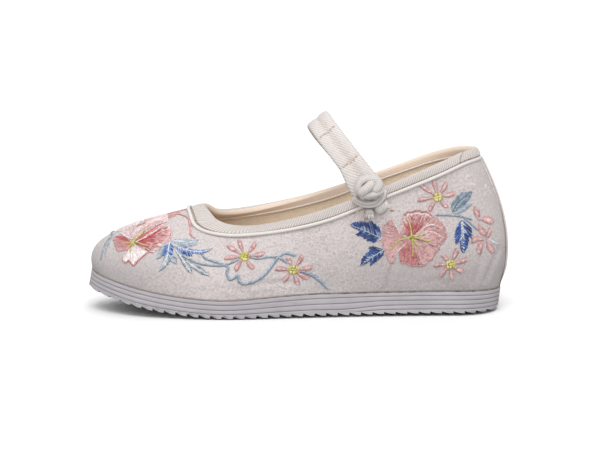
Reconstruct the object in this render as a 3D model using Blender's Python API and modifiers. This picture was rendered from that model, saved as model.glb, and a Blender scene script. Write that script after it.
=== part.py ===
"""Embroidered cloth shoe for the left foot: a low slip-on with a strap, a loop and a knotted button.

The toe points to -X and the heel to +X. The outer side of the foot, with the button, is -Y. The floor is z = 0.
Sizes are in millimetres and angles in radians; points become metres when they are put into a mesh.
"""

import math
from collections import namedtuple

import bmesh
import bpy
from mathutils import Vector

MM = 0.001
GAP = 0.3  # clearance between pieces that are glued or sewn together
UP = Vector((0.0, 0.0, 1.0))

# Driving sizes of the last and the sole
TOE_X = -125.6
HEEL_X = 119.6  # rear of the sole; the cloth of the heel stands further back
AXIS_Y = 3.4  # the last's long axis, so that the whole shoe is centred on the origin
TOE_SWING = 5.0  # how far the toe turns towards the inner side
TOE_SWING_FROM_X = -30.0
TOE_REACH = 46.0  # length of the rounded stretch of the outline at each end
HEEL_REACH = 27.0
TOE_SPRING = 13.6
TOE_SPRING_FROM_X = -30.0
TOE_SPRING_POWER = 2.0
HEEL_DRAFT = 2.4  # how far the sole draws in towards the floor, at the rear and at the sides
SIDE_DRAFT = 0.9

# Half widths of the sole's outline from the long axis
OutlineRow = namedtuple("OutlineRow", "x outer inner")
OUTLINE = (
    OutlineRow(-124.0, 36.0, 33.0),
    OutlineRow(-92.0, 39.5, 38.0),
    OutlineRow(-58.0, 43.2, 41.0),
    OutlineRow(-38.0, 43.4, 40.2),
    OutlineRow(0.0, 38.0, 34.0),
    OutlineRow(35.0, 33.4, 30.6),
    OutlineRow(75.0, 30.4, 29.6),
    OutlineRow(119.6, 29.0, 29.0),
)

# Heights above the bottom line of the sole's top and of the grooves in its side. The heel has one layer more.
LayerRow = namedtuple("LayerRow", "x top first second third fourth")
LAYERS = (
    LayerRow(-124.0, 11.2, 8.5, 5.8, 3.3, 2.0),
    LayerRow(-95.0, 11.8, 8.9, 6.0, 3.3, 1.9),
    LayerRow(-45.0, 12.0, 9.0, 6.0, 3.3, 1.9),
    LayerRow(5.0, 14.9, 11.9, 8.5, 5.3, 2.7),
    LayerRow(28.0, 15.2, 12.4, 8.9, 5.6, 3.0),
    LayerRow(50.0, 15.4, 12.8, 10.0, 7.2, 4.3),
    LayerRow(119.6, 15.2, 12.8, 10.1, 7.3, 4.4),
)
GROOVES = ("first", "second", "third", "fourth")
GROOVE_DEPTH = 0.8
GROOVE_HALF_WIDTH = 0.42
HEEL_LAYER_FROM_X = 27.0  # the extra layer's groove begins here
HEEL_LAYER_FULL_X = 40.0
SOLE_EDGE = 0.4  # small bevel at the sole's top edge
TREAD_ALLOWANCE = 1.0  # depth below the bottom line that the tread cuts away

# Saw-tooth tread
TOOTH_PITCH = 6.75
TOOTH_DEPTH = 1.9
TOOTH_LAND = 2.4  # flat foot of each tooth

# Upper: a wall that rises from the feather line on the sole to the collar
RING = 80  # sections round the shoe, from the toe along the outer side, the heel and back along the inner side
WALL_ROWS = 11
RING_STEP = 2 * math.pi / RING
WALL_STEP = 1 / (WALL_ROWS - 1)
WALL = 1.7
FEATHER_INSET = 0.4
THROAT_X = -56.6
COLLAR_BACK_X = 104.6
THROAT_REACH = 34.0
COLLAR_BACK_REACH = 34.0

# Collar: half widths from the axis, height of the outer side and how much higher the inner side stands
CollarRow = namedtuple("CollarRow", "x outer inner height inner_rise")
COLLAR = (
    CollarRow(-56.6, 25.0, 25.0, 60.6, 0.0),
    CollarRow(-48.5, 26.0, 26.0, 54.4, 1.6),
    CollarRow(-37.0, 28.0, 27.5, 52.0, 3.2),
    CollarRow(-20.0, 30.2, 28.6, 53.5, 4.2),
    CollarRow(10.0, 30.6, 28.8, 60.6, 4.2),
    CollarRow(51.0, 28.4, 27.4, 75.2, 3.0),
    CollarRow(81.0, 25.2, 24.8, 87.4, 1.8),
    CollarRow(96.0, 22.0, 22.0, 93.0, 0.8),
    CollarRow(104.6, 20.0, 20.0, 94.8, 0.0),
)

# Shape of the wall from the toe (0) to the heel (1): how far it first rises and bulges from the sole, and how
# far it falls below the collar and runs back towards the feather line
WallRow = namedtuple("WallRow", "u rise bulge fall lead")
WALL_SHAPE = (
    WallRow(0.00, 17.5, 5.4, 12.0, 0.80),
    WallRow(0.20, 20.0, 3.0, 10.5, 0.64),
    WallRow(0.35, 20.0, 2.4, 13.0, 0.52),
    WallRow(0.50, 19.0, 2.8, 17.0, 0.44),
    WallRow(0.70, 21.0, 4.2, 22.0, 0.60),
    WallRow(0.85, 23.5, 6.4, 27.0, 0.95),
    WallRow(1.00, 25.5, 9.0, 28.0, 1.06),
)

# Collar trim
BINDING_WIDTH = 4.8
BINDING_INSIDE_WIDTH = 5.0
BINDING_THICKNESS = 0.8
BINDING_GAP = 0.3
BINDING_INSIDE_GAP = 0.4
BINDING_CROWN_GAP = 0.75
PIPING_RADIUS = 1.0
PIPING_CLEARANCE = 0.8
PIPING_SIDES = 6

# Raised seam down the middle of the heel
WELT_HALF_WIDTH = 1.7
WELT_HEIGHT = 1.3
WELT_ROWS = 12
WELT_FOOT_CLEARANCE = 0.8

# Insole with its heel lift: thickness along the shoe
InsoleRow = namedtuple("InsoleRow", "x thickness")
INSOLE = (
    InsoleRow(-124.0, 3.0),
    InsoleRow(-45.0, 3.6),
    InsoleRow(10.0, 8.0),
    InsoleRow(65.0, 18.5),
    InsoleRow(119.6, 22.0),
)
INSOLE_CLEARANCE = 0.7
INSOLE_ROWS = 4

# Strap: two rolled bands side by side that stand up as an arch in a plane leaning towards the toe
STRAP_FOOT_X = 43.0
STRAP_FOOT_Z = 71.5
STRAP_TOP_X = 9.4
STRAP_TOP_Z = 113.4
STRAP_OUTER_Y = -32.6  # middle of the strap beside the collar, outside it and inside it
STRAP_INNER_Y = 22.9
STRAP_FULLNESS = 2.3  # exponent of the arch, 2 being an ellipse
STRAP_OUTER_ANGLE = 0.055  # where the strap ends above the button, from the arch's outer foot
STRAP_INNER_ANGLE = math.pi + 0.10
STRAP_STATIONS = 26
BAND_HALF_WIDTH = 3.35
BAND_HALF_THICKNESS = 1.5
BAND_VALLEY = 0.8  # half thickness where the two bands meet

# Loop at the strap's end, and the knotted button that it holds
CORD_RADIUS = 2.0
LOOP_OFFSET = 4.7  # middle of the cord from the outer face of the wall
BUTTON_X = 40.4
BUTTON_Z = 76.4
BUTTON_OFFSET = 12.7
BUTTON_CORE_RADIUS = 6.2
BUTTON_STRAND_RING = 5.5
BUTTON_STRAND_RADIUS = 2.4
BUTTON_TILTS = ((0.25, 0.0, 0.4), (1.35, 0.35, 0.0), (0.5, 1.45, 0.9))
LEG_RADIUS = 2.0
LEG_OFFSET = 2.5

# Routes on the outer wall, as places along the shoe and heights above the floor
RoutePoint = namedtuple("RoutePoint", "x z")
LOOP_ROUTE = (
    RoutePoint(32.6, 71.2),
    RoutePoint(33.4, 68.4),
    RoutePoint(36.4, 66.4),
    RoutePoint(40.8, 65.6),
    RoutePoint(45.2, 66.6),
    RoutePoint(48.6, 70.2),
    RoutePoint(49.6, 75.2),
)
LEG_ROUTES = {
    "knot_leg_lower": (RoutePoint(41.6, 62.4), RoutePoint(41.1, 60.6), RoutePoint(40.8, 58.4)),
    "knot_leg_rear": (RoutePoint(45.4, 62.8), RoutePoint(48.8, 64.6), RoutePoint(52.0, 67.2)),
}

# Colours and finish of each material
Finish = namedtuple("Finish", "colour roughness")
FINISHES = {
    "outsole": Finish((0.60, 0.57, 0.60), 0.62),
    "upper": Finish((0.66, 0.60, 0.59), 0.85),
    "insole": Finish((0.62, 0.50, 0.36), 0.90),
    "collar_binding": Finish((0.78, 0.74, 0.71), 0.80),
    "collar_piping": Finish((0.80, 0.77, 0.74), 0.78),
    "heel_seam": Finish((0.66, 0.60, 0.58), 0.85),
    "strap": Finish((0.80, 0.76, 0.73), 0.80),
    "strap_loop": Finish((0.80, 0.77, 0.74), 0.80),
    "knot_button": Finish((0.80, 0.77, 0.75), 0.80),
    "knot_leg_lower": Finish((0.78, 0.75, 0.73), 0.80),
    "knot_leg_rear": Finish((0.78, 0.75, 0.73), 0.80),
}


def read(rows, at, column):
    """Smooth value of a table's column; the table's first column holds the places."""
    places = [row[0] for row in rows]
    values = [getattr(row, column) for row in rows]
    if at <= places[0]:
        return values[0]
    if at >= places[-1]:
        return values[-1]
    i = max(k for k in range(len(places) - 1) if places[k] <= at)
    span = places[i + 1] - places[i]
    t = (at - places[i]) / span

    def slope(k):
        if k in (0, len(places) - 1):
            return 0.0 if k == 0 else (values[k] - values[k - 1]) / (places[k] - places[k - 1])
        return (values[k + 1] - values[k - 1]) / (places[k + 1] - places[k - 1])

    return (
        (2 * t**3 - 3 * t**2 + 1) * values[i]
        + (t**3 - 2 * t**2 + t) * span * slope(i)
        + (3 * t**2 - 2 * t**3) * values[i + 1]
        + (t**3 - t**2) * span * slope(i + 1)
    )


def step(start, end, at):
    """0 before start, 1 after end, and smooth between them."""
    t = min(1.0, max(0.0, (at - start) / (end - start)))
    return t * t * (3 - 2 * t)


def rounded(distance, reach):
    """Share of the full width at this distance from an end whose rounding is an ellipse of that reach."""
    left = max(0.0, 1.0 - distance / reach)
    return math.sqrt(max(0.0, 1.0 - left * left))


def side_of(angle):
    """(place from toe 0 to heel 1, side) of an angle round the shoe; -1 is the outer side."""
    angle %= 2 * math.pi
    return (angle / math.pi, -1) if angle <= math.pi else (2 - angle / math.pi, 1)


def ring_angle(k):
    return k * RING_STEP


def axis_y(x):
    return AXIS_Y + TOE_SWING * (1 - step(TOE_X, TOE_SWING_FROM_X, x))


def outline(angle):
    """Point of the sole's outline, flat."""
    u, side = side_of(angle)
    x = (TOE_X + HEEL_X) / 2 - (HEEL_X - TOE_X) / 2 * math.cos(math.pi * u)
    width = read(OUTLINE, x, "outer" if side < 0 else "inner")
    width *= rounded(x - TOE_X, TOE_REACH) * rounded(HEEL_X - x, HEEL_REACH)
    return Vector((x, axis_y(x) + side * width, 0.0))


def outward(angle):
    """Level unit vector that points out of the outline."""
    ahead = outline(angle + 0.02) - outline(angle - 0.02)
    return Vector((-ahead.y, ahead.x, 0.0)).normalized() * -1


def bottom_height(x):
    reach = max(0.0, (TOE_SPRING_FROM_X - x) / (TOE_SPRING_FROM_X - TOE_X))
    return TOE_SPRING * reach**TOE_SPRING_POWER


def lifted(flat, height):
    """A flat point raised by a height above the sole's bottom line, square to that line."""
    slope = (bottom_height(flat.x - 0.5) - bottom_height(flat.x + 0.5)) / 1.0
    tilt = math.atan(slope)
    return Vector((flat.x + height * math.sin(tilt), flat.y, bottom_height(flat.x) + height * math.cos(tilt)))


def feather(angle):
    """Lower edge of the upper, just above the sole."""
    flat = outline(angle) - outward(angle) * FEATHER_INSET
    return lifted(flat, read(LAYERS, flat.x, "top") + GAP)


def collar(angle):
    """Upper edge of the upper's wall."""
    u, side = side_of(angle)
    x = (THROAT_X + COLLAR_BACK_X) / 2 - (COLLAR_BACK_X - THROAT_X) / 2 * math.cos(math.pi * u)
    width = read(COLLAR, x, "outer" if side < 0 else "inner")
    width *= rounded(x - THROAT_X, THROAT_REACH) * rounded(COLLAR_BACK_X - x, COLLAR_BACK_REACH)
    rise = read(COLLAR, x, "inner_rise") if side > 0 else 0.0
    return Vector((x, axis_y(x) + side * width, read(COLLAR, x, "height") + rise))


def wall(angle, s):
    """Outer face of the upper: s runs from 0 at the sole to 1 at the collar, on one cubic curve."""
    u, _ = side_of(angle)
    foot, top = feather(angle), collar(angle)
    run = Vector((foot.x - top.x, foot.y - top.y, 0.0))
    lower = foot + UP * read(WALL_SHAPE, u, "rise") + outward(angle) * read(WALL_SHAPE, u, "bulge")
    upper = top - UP * read(WALL_SHAPE, u, "fall") + run * read(WALL_SHAPE, u, "lead")
    r = 1 - s
    return foot * r**3 + lower * (3 * r * r * s) + upper * (3 * r * s * s) + top * s**3


def wall_frame(angle, s):
    """(point, outward normal, direction up the wall) on the upper's outer face."""
    low, high = max(0.0, s - WALL_STEP), min(1.0, s + WALL_STEP)
    middle = (low + high) / 2
    around = wall(angle + RING_STEP, middle) - wall(angle - RING_STEP, middle)
    along = (wall(angle, high) - wall(angle, low)).normalized()
    normal = along.cross(around).normalized()
    if normal.dot(outward(angle)) + 0.6 * normal.z < 0:
        normal.negate()
    return wall(angle, s), normal, along


def below_collar(angle, depth):
    """The wall's frame at this distance down the wall from the collar's edge."""
    s, here, passed = 1.0, wall(angle, 1.0), 0.0
    while passed < depth and s > 0:
        s -= 0.005
        there = wall(angle, s)
        passed += (there - here).length
        here = there
    return wall_frame(angle, s)


def at_height(angle, z):
    """The wall's frame at a height above the floor."""
    low, high = 0.0, 1.0
    for _ in range(24):
        middle = (low + high) / 2
        low, high = (middle, high) if wall(angle, middle).z < z else (low, middle)
    return wall_frame(angle, low)


def raised_frame(angle, z):
    """(point, outward normal) of the wall at a height; above the collar the wall is carried on upright."""
    point, normal, _ = at_height(angle, z)
    if z > point.z + GAP:
        normal = Vector((normal.x, normal.y, 0.0)).normalized()
        point = Vector((point.x, point.y, z))
    return point, normal


def on_outer_wall(place, offset):
    """Point at an offset outside the outer wall, over a place along the shoe and a height."""
    low, high = 0.0, math.pi
    for _ in range(24):
        middle = (low + high) / 2
        low, high = (middle, high) if raised_frame(middle, place.z)[0].x < place.x else (low, middle)
    point, normal = raised_frame(low, place.z)
    return point + normal * offset


def new_object(name, mesh):
    mesh.name = name
    obj = bpy.data.objects.new(name, mesh)
    bpy.context.scene.collection.objects.link(obj)
    return obj


def object_from(name, bm):
    bmesh.ops.recalc_face_normals(bm, faces=bm.faces)
    mesh = bpy.data.meshes.new(name)
    bm.to_mesh(mesh)
    bm.free()
    return new_object(name, mesh)


def add_ring(bm, points):
    return [bm.verts.new(p * MM) for p in points]


def join_rings(bm, rings, closed):
    """Faces between neighbouring rings of equal length."""
    for a, b in zip(rings, rings[1:]):
        count = len(a)
        for k in range(count if closed else count - 1):
            bm.faces.new((a[k], a[(k + 1) % count], b[(k + 1) % count], b[k]))


def cap_across(bm, ring):
    """Closes a ring round the shoe with strips from its outer to its inner side."""
    half = len(ring) // 2
    for k in range(half):
        corners = (ring[k], ring[k + 1], ring[(-k - 1) % len(ring)], ring[-k % len(ring)])
        bm.faces.new(list(dict.fromkeys(corners)))


def loft(name, sections, closed_section=True, caps=True):
    """A solid through sections of equal length, capped at its first and last."""
    bm = bmesh.new()
    rings = [add_ring(bm, section) for section in sections]
    join_rings(bm, rings, closed_section)
    if caps:
        bm.faces.new(rings[0])
        bm.faces.new(rings[-1])
    return object_from(name, bm)


def endless_loft(name, sections):
    """A solid ring through sections that come back to the first."""
    bm = bmesh.new()
    rings = [add_ring(bm, section) for section in sections]
    join_rings(bm, rings + [rings[0]], True)
    return object_from(name, bm)


def cut(obj, cutter):
    modifier = obj.modifiers.new("cut", "BOOLEAN")
    modifier.operation = "DIFFERENCE"
    modifier.solver = "EXACT"
    modifier.object = cutter
    cutter.hide_render = True
    cutter.display_type = "WIRE"


def merged(name, pieces):
    """One mesh object from pieces that overlap, joined by Boolean unions."""
    first = pieces[0]
    for piece in pieces[1:]:
        modifier = first.modifiers.new("join", "BOOLEAN")
        modifier.operation = "UNION"
        modifier.solver = "EXACT"
        modifier.object = piece
    bpy.context.view_layer.update()
    graph = bpy.context.evaluated_depsgraph_get()
    mesh = bpy.data.meshes.new_from_object(first.evaluated_get(graph))
    for piece in pieces:
        bpy.data.objects.remove(piece)
    return new_object(name, mesh)


def groove_depth(x, groove):
    if groove != "fourth":
        return GROOVE_DEPTH
    return GROOVE_DEPTH * step(HEEL_LAYER_FROM_X, HEEL_LAYER_FULL_X, x)


def sole_ring(height_of, inset_of):
    """Ring of the sole's side at a height and an inset that depend on the place along the shoe."""
    points = []
    for k in range(RING):
        angle = ring_angle(k)
        flat = outline(angle)
        top = read(LAYERS, flat.x, "top")
        height = height_of(flat.x)
        draft = SIDE_DRAFT + (HEEL_DRAFT - SIDE_DRAFT) * step(HEEL_X - HEEL_REACH, HEEL_X, flat.x)
        inset = inset_of(flat.x) + draft * (1 - height / top)
        points.append(lifted(flat - outward(angle) * inset, height))
    return points


def make_outsole():
    """Layered foam sole: grooved sides, toe spring and a saw-tooth tread."""

    def top(x):
        return read(LAYERS, x, "top")

    rows = [
        sole_ring(top, lambda x: SOLE_EDGE),
        sole_ring(lambda x: top(x) - SOLE_EDGE, lambda x: 0.0),
    ]
    for groove in GROOVES:
        rows += [
            sole_ring(lambda x: read(LAYERS, x, groove) + GROOVE_HALF_WIDTH, lambda x: 0.0),
            sole_ring(lambda x: read(LAYERS, x, groove), lambda x: groove_depth(x, groove)),
            sole_ring(lambda x: read(LAYERS, x, groove) - GROOVE_HALF_WIDTH, lambda x: 0.0),
        ]
    rows.append(sole_ring(lambda x: -TREAD_ALLOWANCE, lambda x: 0.0))
    bm = bmesh.new()
    rings = [add_ring(bm, row) for row in rows]
    join_rings(bm, rings, True)
    cap_across(bm, rings[0])
    cap_across(bm, rings[-1])
    sole = object_from("outsole", bm)
    cut(sole, make_tread_cutter())
    return sole


def make_tread_cutter():
    """Everything below the saw-tooth line, as one block with teeth along its top."""
    margin = 20.0
    line = []
    x = TOE_X - margin
    while x < HEEL_X + margin:
        line += [(x, TOOTH_DEPTH), (x + TOOTH_PITCH - TOOTH_LAND, 0.0), (x + TOOTH_PITCH, 0.0)]
        x += TOOTH_PITCH
    points = [lifted(Vector((x, 0.0, 0.0)), height) for x, height in line]
    points += [Vector((points[-1].x, 0.0, -margin)), Vector((points[0].x, 0.0, -margin))]
    half_width = 70.0
    bm = bmesh.new()
    face = bm.faces.new(add_ring(bm, [p - Vector((0.0, half_width, 0.0)) for p in points]))
    side = bmesh.ops.extrude_face_region(bm, geom=[face])["geom"]
    corners = [g for g in side if isinstance(g, bmesh.types.BMVert)]
    bmesh.ops.translate(bm, vec=Vector((0.0, 2 * half_width * MM, 0.0)), verts=corners)
    return object_from("tread_cutter", bm)


def make_upper():
    """Cloth upper: an open wall, given its thickness on the inside."""
    bm = bmesh.new()
    rings = []
    for row in range(WALL_ROWS):
        rings.append(add_ring(bm, [wall(ring_angle(k), row * WALL_STEP) for k in range(RING)]))
    join_rings(bm, rings, True)
    upper = object_from("upper", bm)
    thickness = upper.modifiers.new("wall", "SOLIDIFY")
    thickness.thickness = WALL * MM
    thickness.offset = -1.0
    thickness.use_even_offset = True
    return upper


def make_insole():
    """Footbed with its heel lift, cut to the inside of the upper."""
    rings = []
    for row in range(INSOLE_ROWS):
        points = []
        for k in range(RING):
            angle = ring_angle(k)
            foot = feather(angle)
            height = foot.z + GAP + read(INSOLE, foot.x, "thickness") * row / (INSOLE_ROWS - 1)
            point, normal, _ = at_height(angle, height)
            level = Vector((normal.x, normal.y, 0.0)).normalized()
            inside = point - level * (WALL + INSOLE_CLEARANCE)
            points.append(Vector((inside.x, inside.y, height)))
        rings.append(points)
    bm = bmesh.new()
    loops = [add_ring(bm, points) for points in rings]
    join_rings(bm, loops, True)
    cap_across(bm, loops[0])
    cap_across(bm, loops[-1])
    return object_from("insole", bm)


def binding_section(angle):
    """Folded tape over the collar's edge, in the plane across the edge."""
    inside = -(WALL + BINDING_INSIDE_GAP)
    outer, inner = BINDING_GAP + BINDING_THICKNESS, inside - BINDING_THICKNESS
    crown = BINDING_CROWN_GAP + BINDING_THICKNESS
    corner = 0.45 * BINDING_THICKNESS
    points = (
        (outer, -BINDING_WIDTH),
        (outer, crown - corner),
        (outer - corner, crown),
        (inner + corner, crown),
        (inner, crown - corner),
        (inner, -BINDING_INSIDE_WIDTH),
        (inside, -BINDING_INSIDE_WIDTH),
        (inside, BINDING_CROWN_GAP),
        (BINDING_GAP, BINDING_CROWN_GAP),
        (BINDING_GAP, -BINDING_WIDTH),
    )
    section = []
    for out, up in points:
        base, normal, along = below_collar(angle, max(0.0, -up))
        section.append(base + normal * out + along * max(0.0, up))
    return section


def make_binding():
    return endless_loft("collar_binding", [binding_section(ring_angle(k)) for k in range(RING)])


def make_piping():
    """Thin cord under the binding's lower edge."""
    depth = BINDING_WIDTH + PIPING_CLEARANCE + PIPING_RADIUS
    sections = []
    for k in range(RING):
        base, normal, along = below_collar(ring_angle(k), depth)
        centre = base + normal * (PIPING_RADIUS + GAP)
        turns = [2 * math.pi * i / PIPING_SIDES for i in range(PIPING_SIDES)]
        sections.append([centre + (normal * math.cos(t) + along * math.sin(t)) * PIPING_RADIUS for t in turns])
    return endless_loft("collar_piping", sections)


def make_heel_seam():
    """Raised seam down the heel, from the piping to the sole."""
    top_depth = BINDING_WIDTH + 2 * PIPING_RADIUS + 2 * PIPING_CLEARANCE
    top = below_collar(math.pi, top_depth)[0].z
    foot = feather(math.pi).z + WELT_FOOT_CLEARANCE
    across = Vector((0.0, 1.0, 0.0))
    profile = ((-1.0, 0.0), (-0.6, 0.8), (0.0, 1.0), (0.6, 0.8), (1.0, 0.0))
    sections = []
    for row in range(WELT_ROWS):
        base, normal, _ = at_height(math.pi, foot + (top - foot) * row / (WELT_ROWS - 1))
        sections.append(
            [base + across * (WELT_HALF_WIDTH * a) + normal * (GAP + WELT_HEIGHT * h) for a, h in profile]
        )
    return loft("heel_seam", sections)


def strap_arch(t):
    """Middle line of the strap: 0 at the arch's outer foot, pi at its inner foot."""
    middle = (STRAP_OUTER_Y + STRAP_INNER_Y) / 2 + AXIS_Y
    half = (STRAP_INNER_Y - STRAP_OUTER_Y) / 2
    c, s = math.cos(t), math.sin(t)
    y = middle - half * math.copysign(abs(c) ** (2 / STRAP_FULLNESS), c)
    rise = math.copysign(abs(s) ** (2 / STRAP_FULLNESS), s)
    x = STRAP_FOOT_X + (STRAP_TOP_X - STRAP_FOOT_X) * rise
    return Vector((x, y, STRAP_FOOT_Z + (STRAP_TOP_Z - STRAP_FOOT_Z) * rise))


def strap_frame(t):
    """(point, direction out of the arch, direction across the strap)."""
    along = (strap_arch(t + 0.01) - strap_arch(t - 0.01)).normalized()
    across = Vector((STRAP_TOP_Z - STRAP_FOOT_Z, 0.0, STRAP_FOOT_X - STRAP_TOP_X)).normalized()
    return strap_arch(t), along.cross(across).normalized() * -1, across


def make_strap():
    """Two rolled bands sewn side by side."""
    w, h = BAND_HALF_WIDTH, BAND_HALF_THICKNESS
    profile = (
        (-2 * w, 0.0), (-1.6 * w, h), (-0.6 * w, h), (0.0, BAND_VALLEY), (0.6 * w, h), (1.6 * w, h),
        (2 * w, 0.0), (1.6 * w, -h), (0.6 * w, -h), (0.0, -BAND_VALLEY), (-0.6 * w, -h), (-1.6 * w, -h),
    )  # fmt: skip
    sections = []
    for i in range(STRAP_STATIONS):
        share = i / (STRAP_STATIONS - 1)
        point, out, across = strap_frame(STRAP_OUTER_ANGLE + (STRAP_INNER_ANGLE - STRAP_OUTER_ANGLE) * share)
        sections.append([point + across * a + out * o for a, o in profile])
    return loft("strap", sections)


def smooth_route(points, samples):
    """Points along a Catmull-Rom curve through a route."""
    line = [2 * points[0] - points[1], *points, 2 * points[-1] - points[-2]]
    smooth = []
    for a, b, c, d in zip(line, line[1:], line[2:], line[3:]):
        for i in range(samples):
            t = i / samples
            smooth.append(
                0.5 * (2 * b + (c - a) * t + (2 * a - 5 * b + 4 * c - d) * t**2 + (3 * b - 3 * c + d - a) * t**3)
            )
    return smooth + [points[-1]]


def tube(name, points, radius):
    """Round cord along a route, with flat ends."""
    data = bpy.data.curves.new(name, "CURVE")
    data.dimensions = "3D"
    data.bevel_depth = radius * MM
    data.bevel_resolution = 2
    data.use_fill_caps = True
    spline = data.splines.new("POLY")
    spline.points.add(len(points) - 1)
    for target, p in zip(spline.points, points):
        target.co = (*(p * MM), 1.0)
    obj = bpy.data.objects.new(name, data)
    bpy.context.scene.collection.objects.link(obj)
    return obj


def make_loop():
    route = [on_outer_wall(place, LOOP_OFFSET) for place in LOOP_ROUTE]
    return tube("strap_loop", smooth_route(route, 3), CORD_RADIUS)


def make_legs():
    legs = []
    for name, places in LEG_ROUTES.items():
        route = [on_outer_wall(place, LEG_OFFSET) for place in places]
        legs.append(tube(name, smooth_route(route, 3), LEG_RADIUS))
    return legs


def make_button():
    """Ball of knotted cord: a core with three strands round it."""
    centre = on_outer_wall(RoutePoint(BUTTON_X, BUTTON_Z), BUTTON_OFFSET) * MM
    bpy.ops.mesh.primitive_uv_sphere_add(
        segments=14, ring_count=9, radius=BUTTON_CORE_RADIUS * MM, location=centre
    )
    pieces = [bpy.context.object]
    for tilt in BUTTON_TILTS:
        bpy.ops.mesh.primitive_torus_add(
            location=centre,
            rotation=tilt,
            major_radius=BUTTON_STRAND_RING * MM,
            minor_radius=BUTTON_STRAND_RADIUS * MM,
            major_segments=18,
            minor_segments=8,
        )
        pieces.append(bpy.context.object)
    bpy.ops.object.select_all(action="SELECT")
    for piece in pieces:
        piece.data.transform(piece.matrix_basis)
        piece.matrix_basis.identity()
    return merged("knot_button", pieces)


def give_material(obj):
    finish = FINISHES[obj.name]
    material = bpy.data.materials.new(obj.name)
    material.use_nodes = True
    shader = material.node_tree.nodes["Principled BSDF"]
    shader.inputs["Base Color"].default_value = (*finish.colour, 1.0)
    shader.inputs["Roughness"].default_value = finish.roughness
    shader.inputs["Metallic"].default_value = 0.0
    obj.data.materials.clear()
    obj.data.materials.append(material)


def shade(obj):
    if obj.type == "MESH":
        obj.data.shade_smooth()
        obj.data.set_sharp_from_angle(angle=math.radians(40))


def put_in_collection(name, objects):
    collection = bpy.data.collections.new(name)
    bpy.context.scene.collection.children.link(collection)
    for obj in objects:
        for old in list(obj.users_collection):
            old.objects.unlink(obj)
        collection.objects.link(obj)


def main():
    for obj in list(bpy.data.objects):
        bpy.data.objects.remove(obj)
    parts = [
        make_outsole(),
        make_upper(),
        make_insole(),
        make_binding(),
        make_piping(),
        make_heel_seam(),
        make_strap(),
        make_loop(),
        make_button(),
        *make_legs(),
    ]
    for part in parts:
        give_material(part)
        shade(part)
    put_in_collection("cloth_shoe", parts)
    put_in_collection("cutters", [bpy.data.objects["tread_cutter"]])


main()
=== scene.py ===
import math

import bmesh
import bpy
import numpy as np
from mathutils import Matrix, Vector
from mathutils.bvhtree import BVHTree
from mathutils.geometry import barycentric_transform


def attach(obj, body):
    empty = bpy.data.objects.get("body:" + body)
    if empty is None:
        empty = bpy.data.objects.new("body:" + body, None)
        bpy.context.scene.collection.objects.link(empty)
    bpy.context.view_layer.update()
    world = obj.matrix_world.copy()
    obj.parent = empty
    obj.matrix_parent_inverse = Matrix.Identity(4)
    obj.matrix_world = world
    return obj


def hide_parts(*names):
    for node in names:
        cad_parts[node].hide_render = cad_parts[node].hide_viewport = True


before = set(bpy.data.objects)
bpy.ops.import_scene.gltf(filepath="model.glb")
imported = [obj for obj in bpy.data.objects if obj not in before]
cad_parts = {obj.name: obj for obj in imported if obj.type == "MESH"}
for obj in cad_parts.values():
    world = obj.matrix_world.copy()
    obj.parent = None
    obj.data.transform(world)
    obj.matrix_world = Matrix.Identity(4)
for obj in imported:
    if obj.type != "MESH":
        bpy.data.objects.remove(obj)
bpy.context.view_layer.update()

mm = 0.001  # sizes below are in millimetres, meshes in metres
pi = math.pi

# the photograph's camera
photo = {"width": 600, "height": 455, "lens": 142.1, "sensor": 36.0, "elevation": 8.0,
         "target": (1.1, 0.0, 48.6), "distance": 1400.0}


def addCamera():
    tilt = math.radians(photo["elevation"])
    data = bpy.data.cameras.new("photo_camera")
    data.lens = photo["lens"]
    data.sensor_width = photo["sensor"]
    data.clip_end = 50
    camera = bpy.data.objects.new("photo_camera", data)
    back = Vector((0, -math.cos(tilt), math.sin(tilt))) * photo["distance"]
    camera.location = (Vector(photo["target"]) + back) * mm
    camera.rotation_euler = (pi / 2 - tilt, 0, 0)
    bpy.context.scene.collection.objects.link(camera)
    bpy.context.scene.camera = camera


def pixelRay(px, py):
    tilt = math.radians(photo["elevation"])
    start = Vector(photo["target"]) + Vector((0, -math.cos(tilt), math.sin(tilt))) * photo["distance"]
    perPixel = photo["sensor"] / photo["lens"] / photo["width"]
    across = (px - photo["width"] / 2) * perPixel
    upward = (photo["height"] / 2 - py) * perPixel
    forward = Vector((0, math.cos(tilt), -math.sin(tilt)))
    direction = forward + Vector((1, 0, 0)) * across + Vector((0, math.sin(tilt), math.cos(tilt))) * upward
    return start, direction.normalized()


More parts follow.
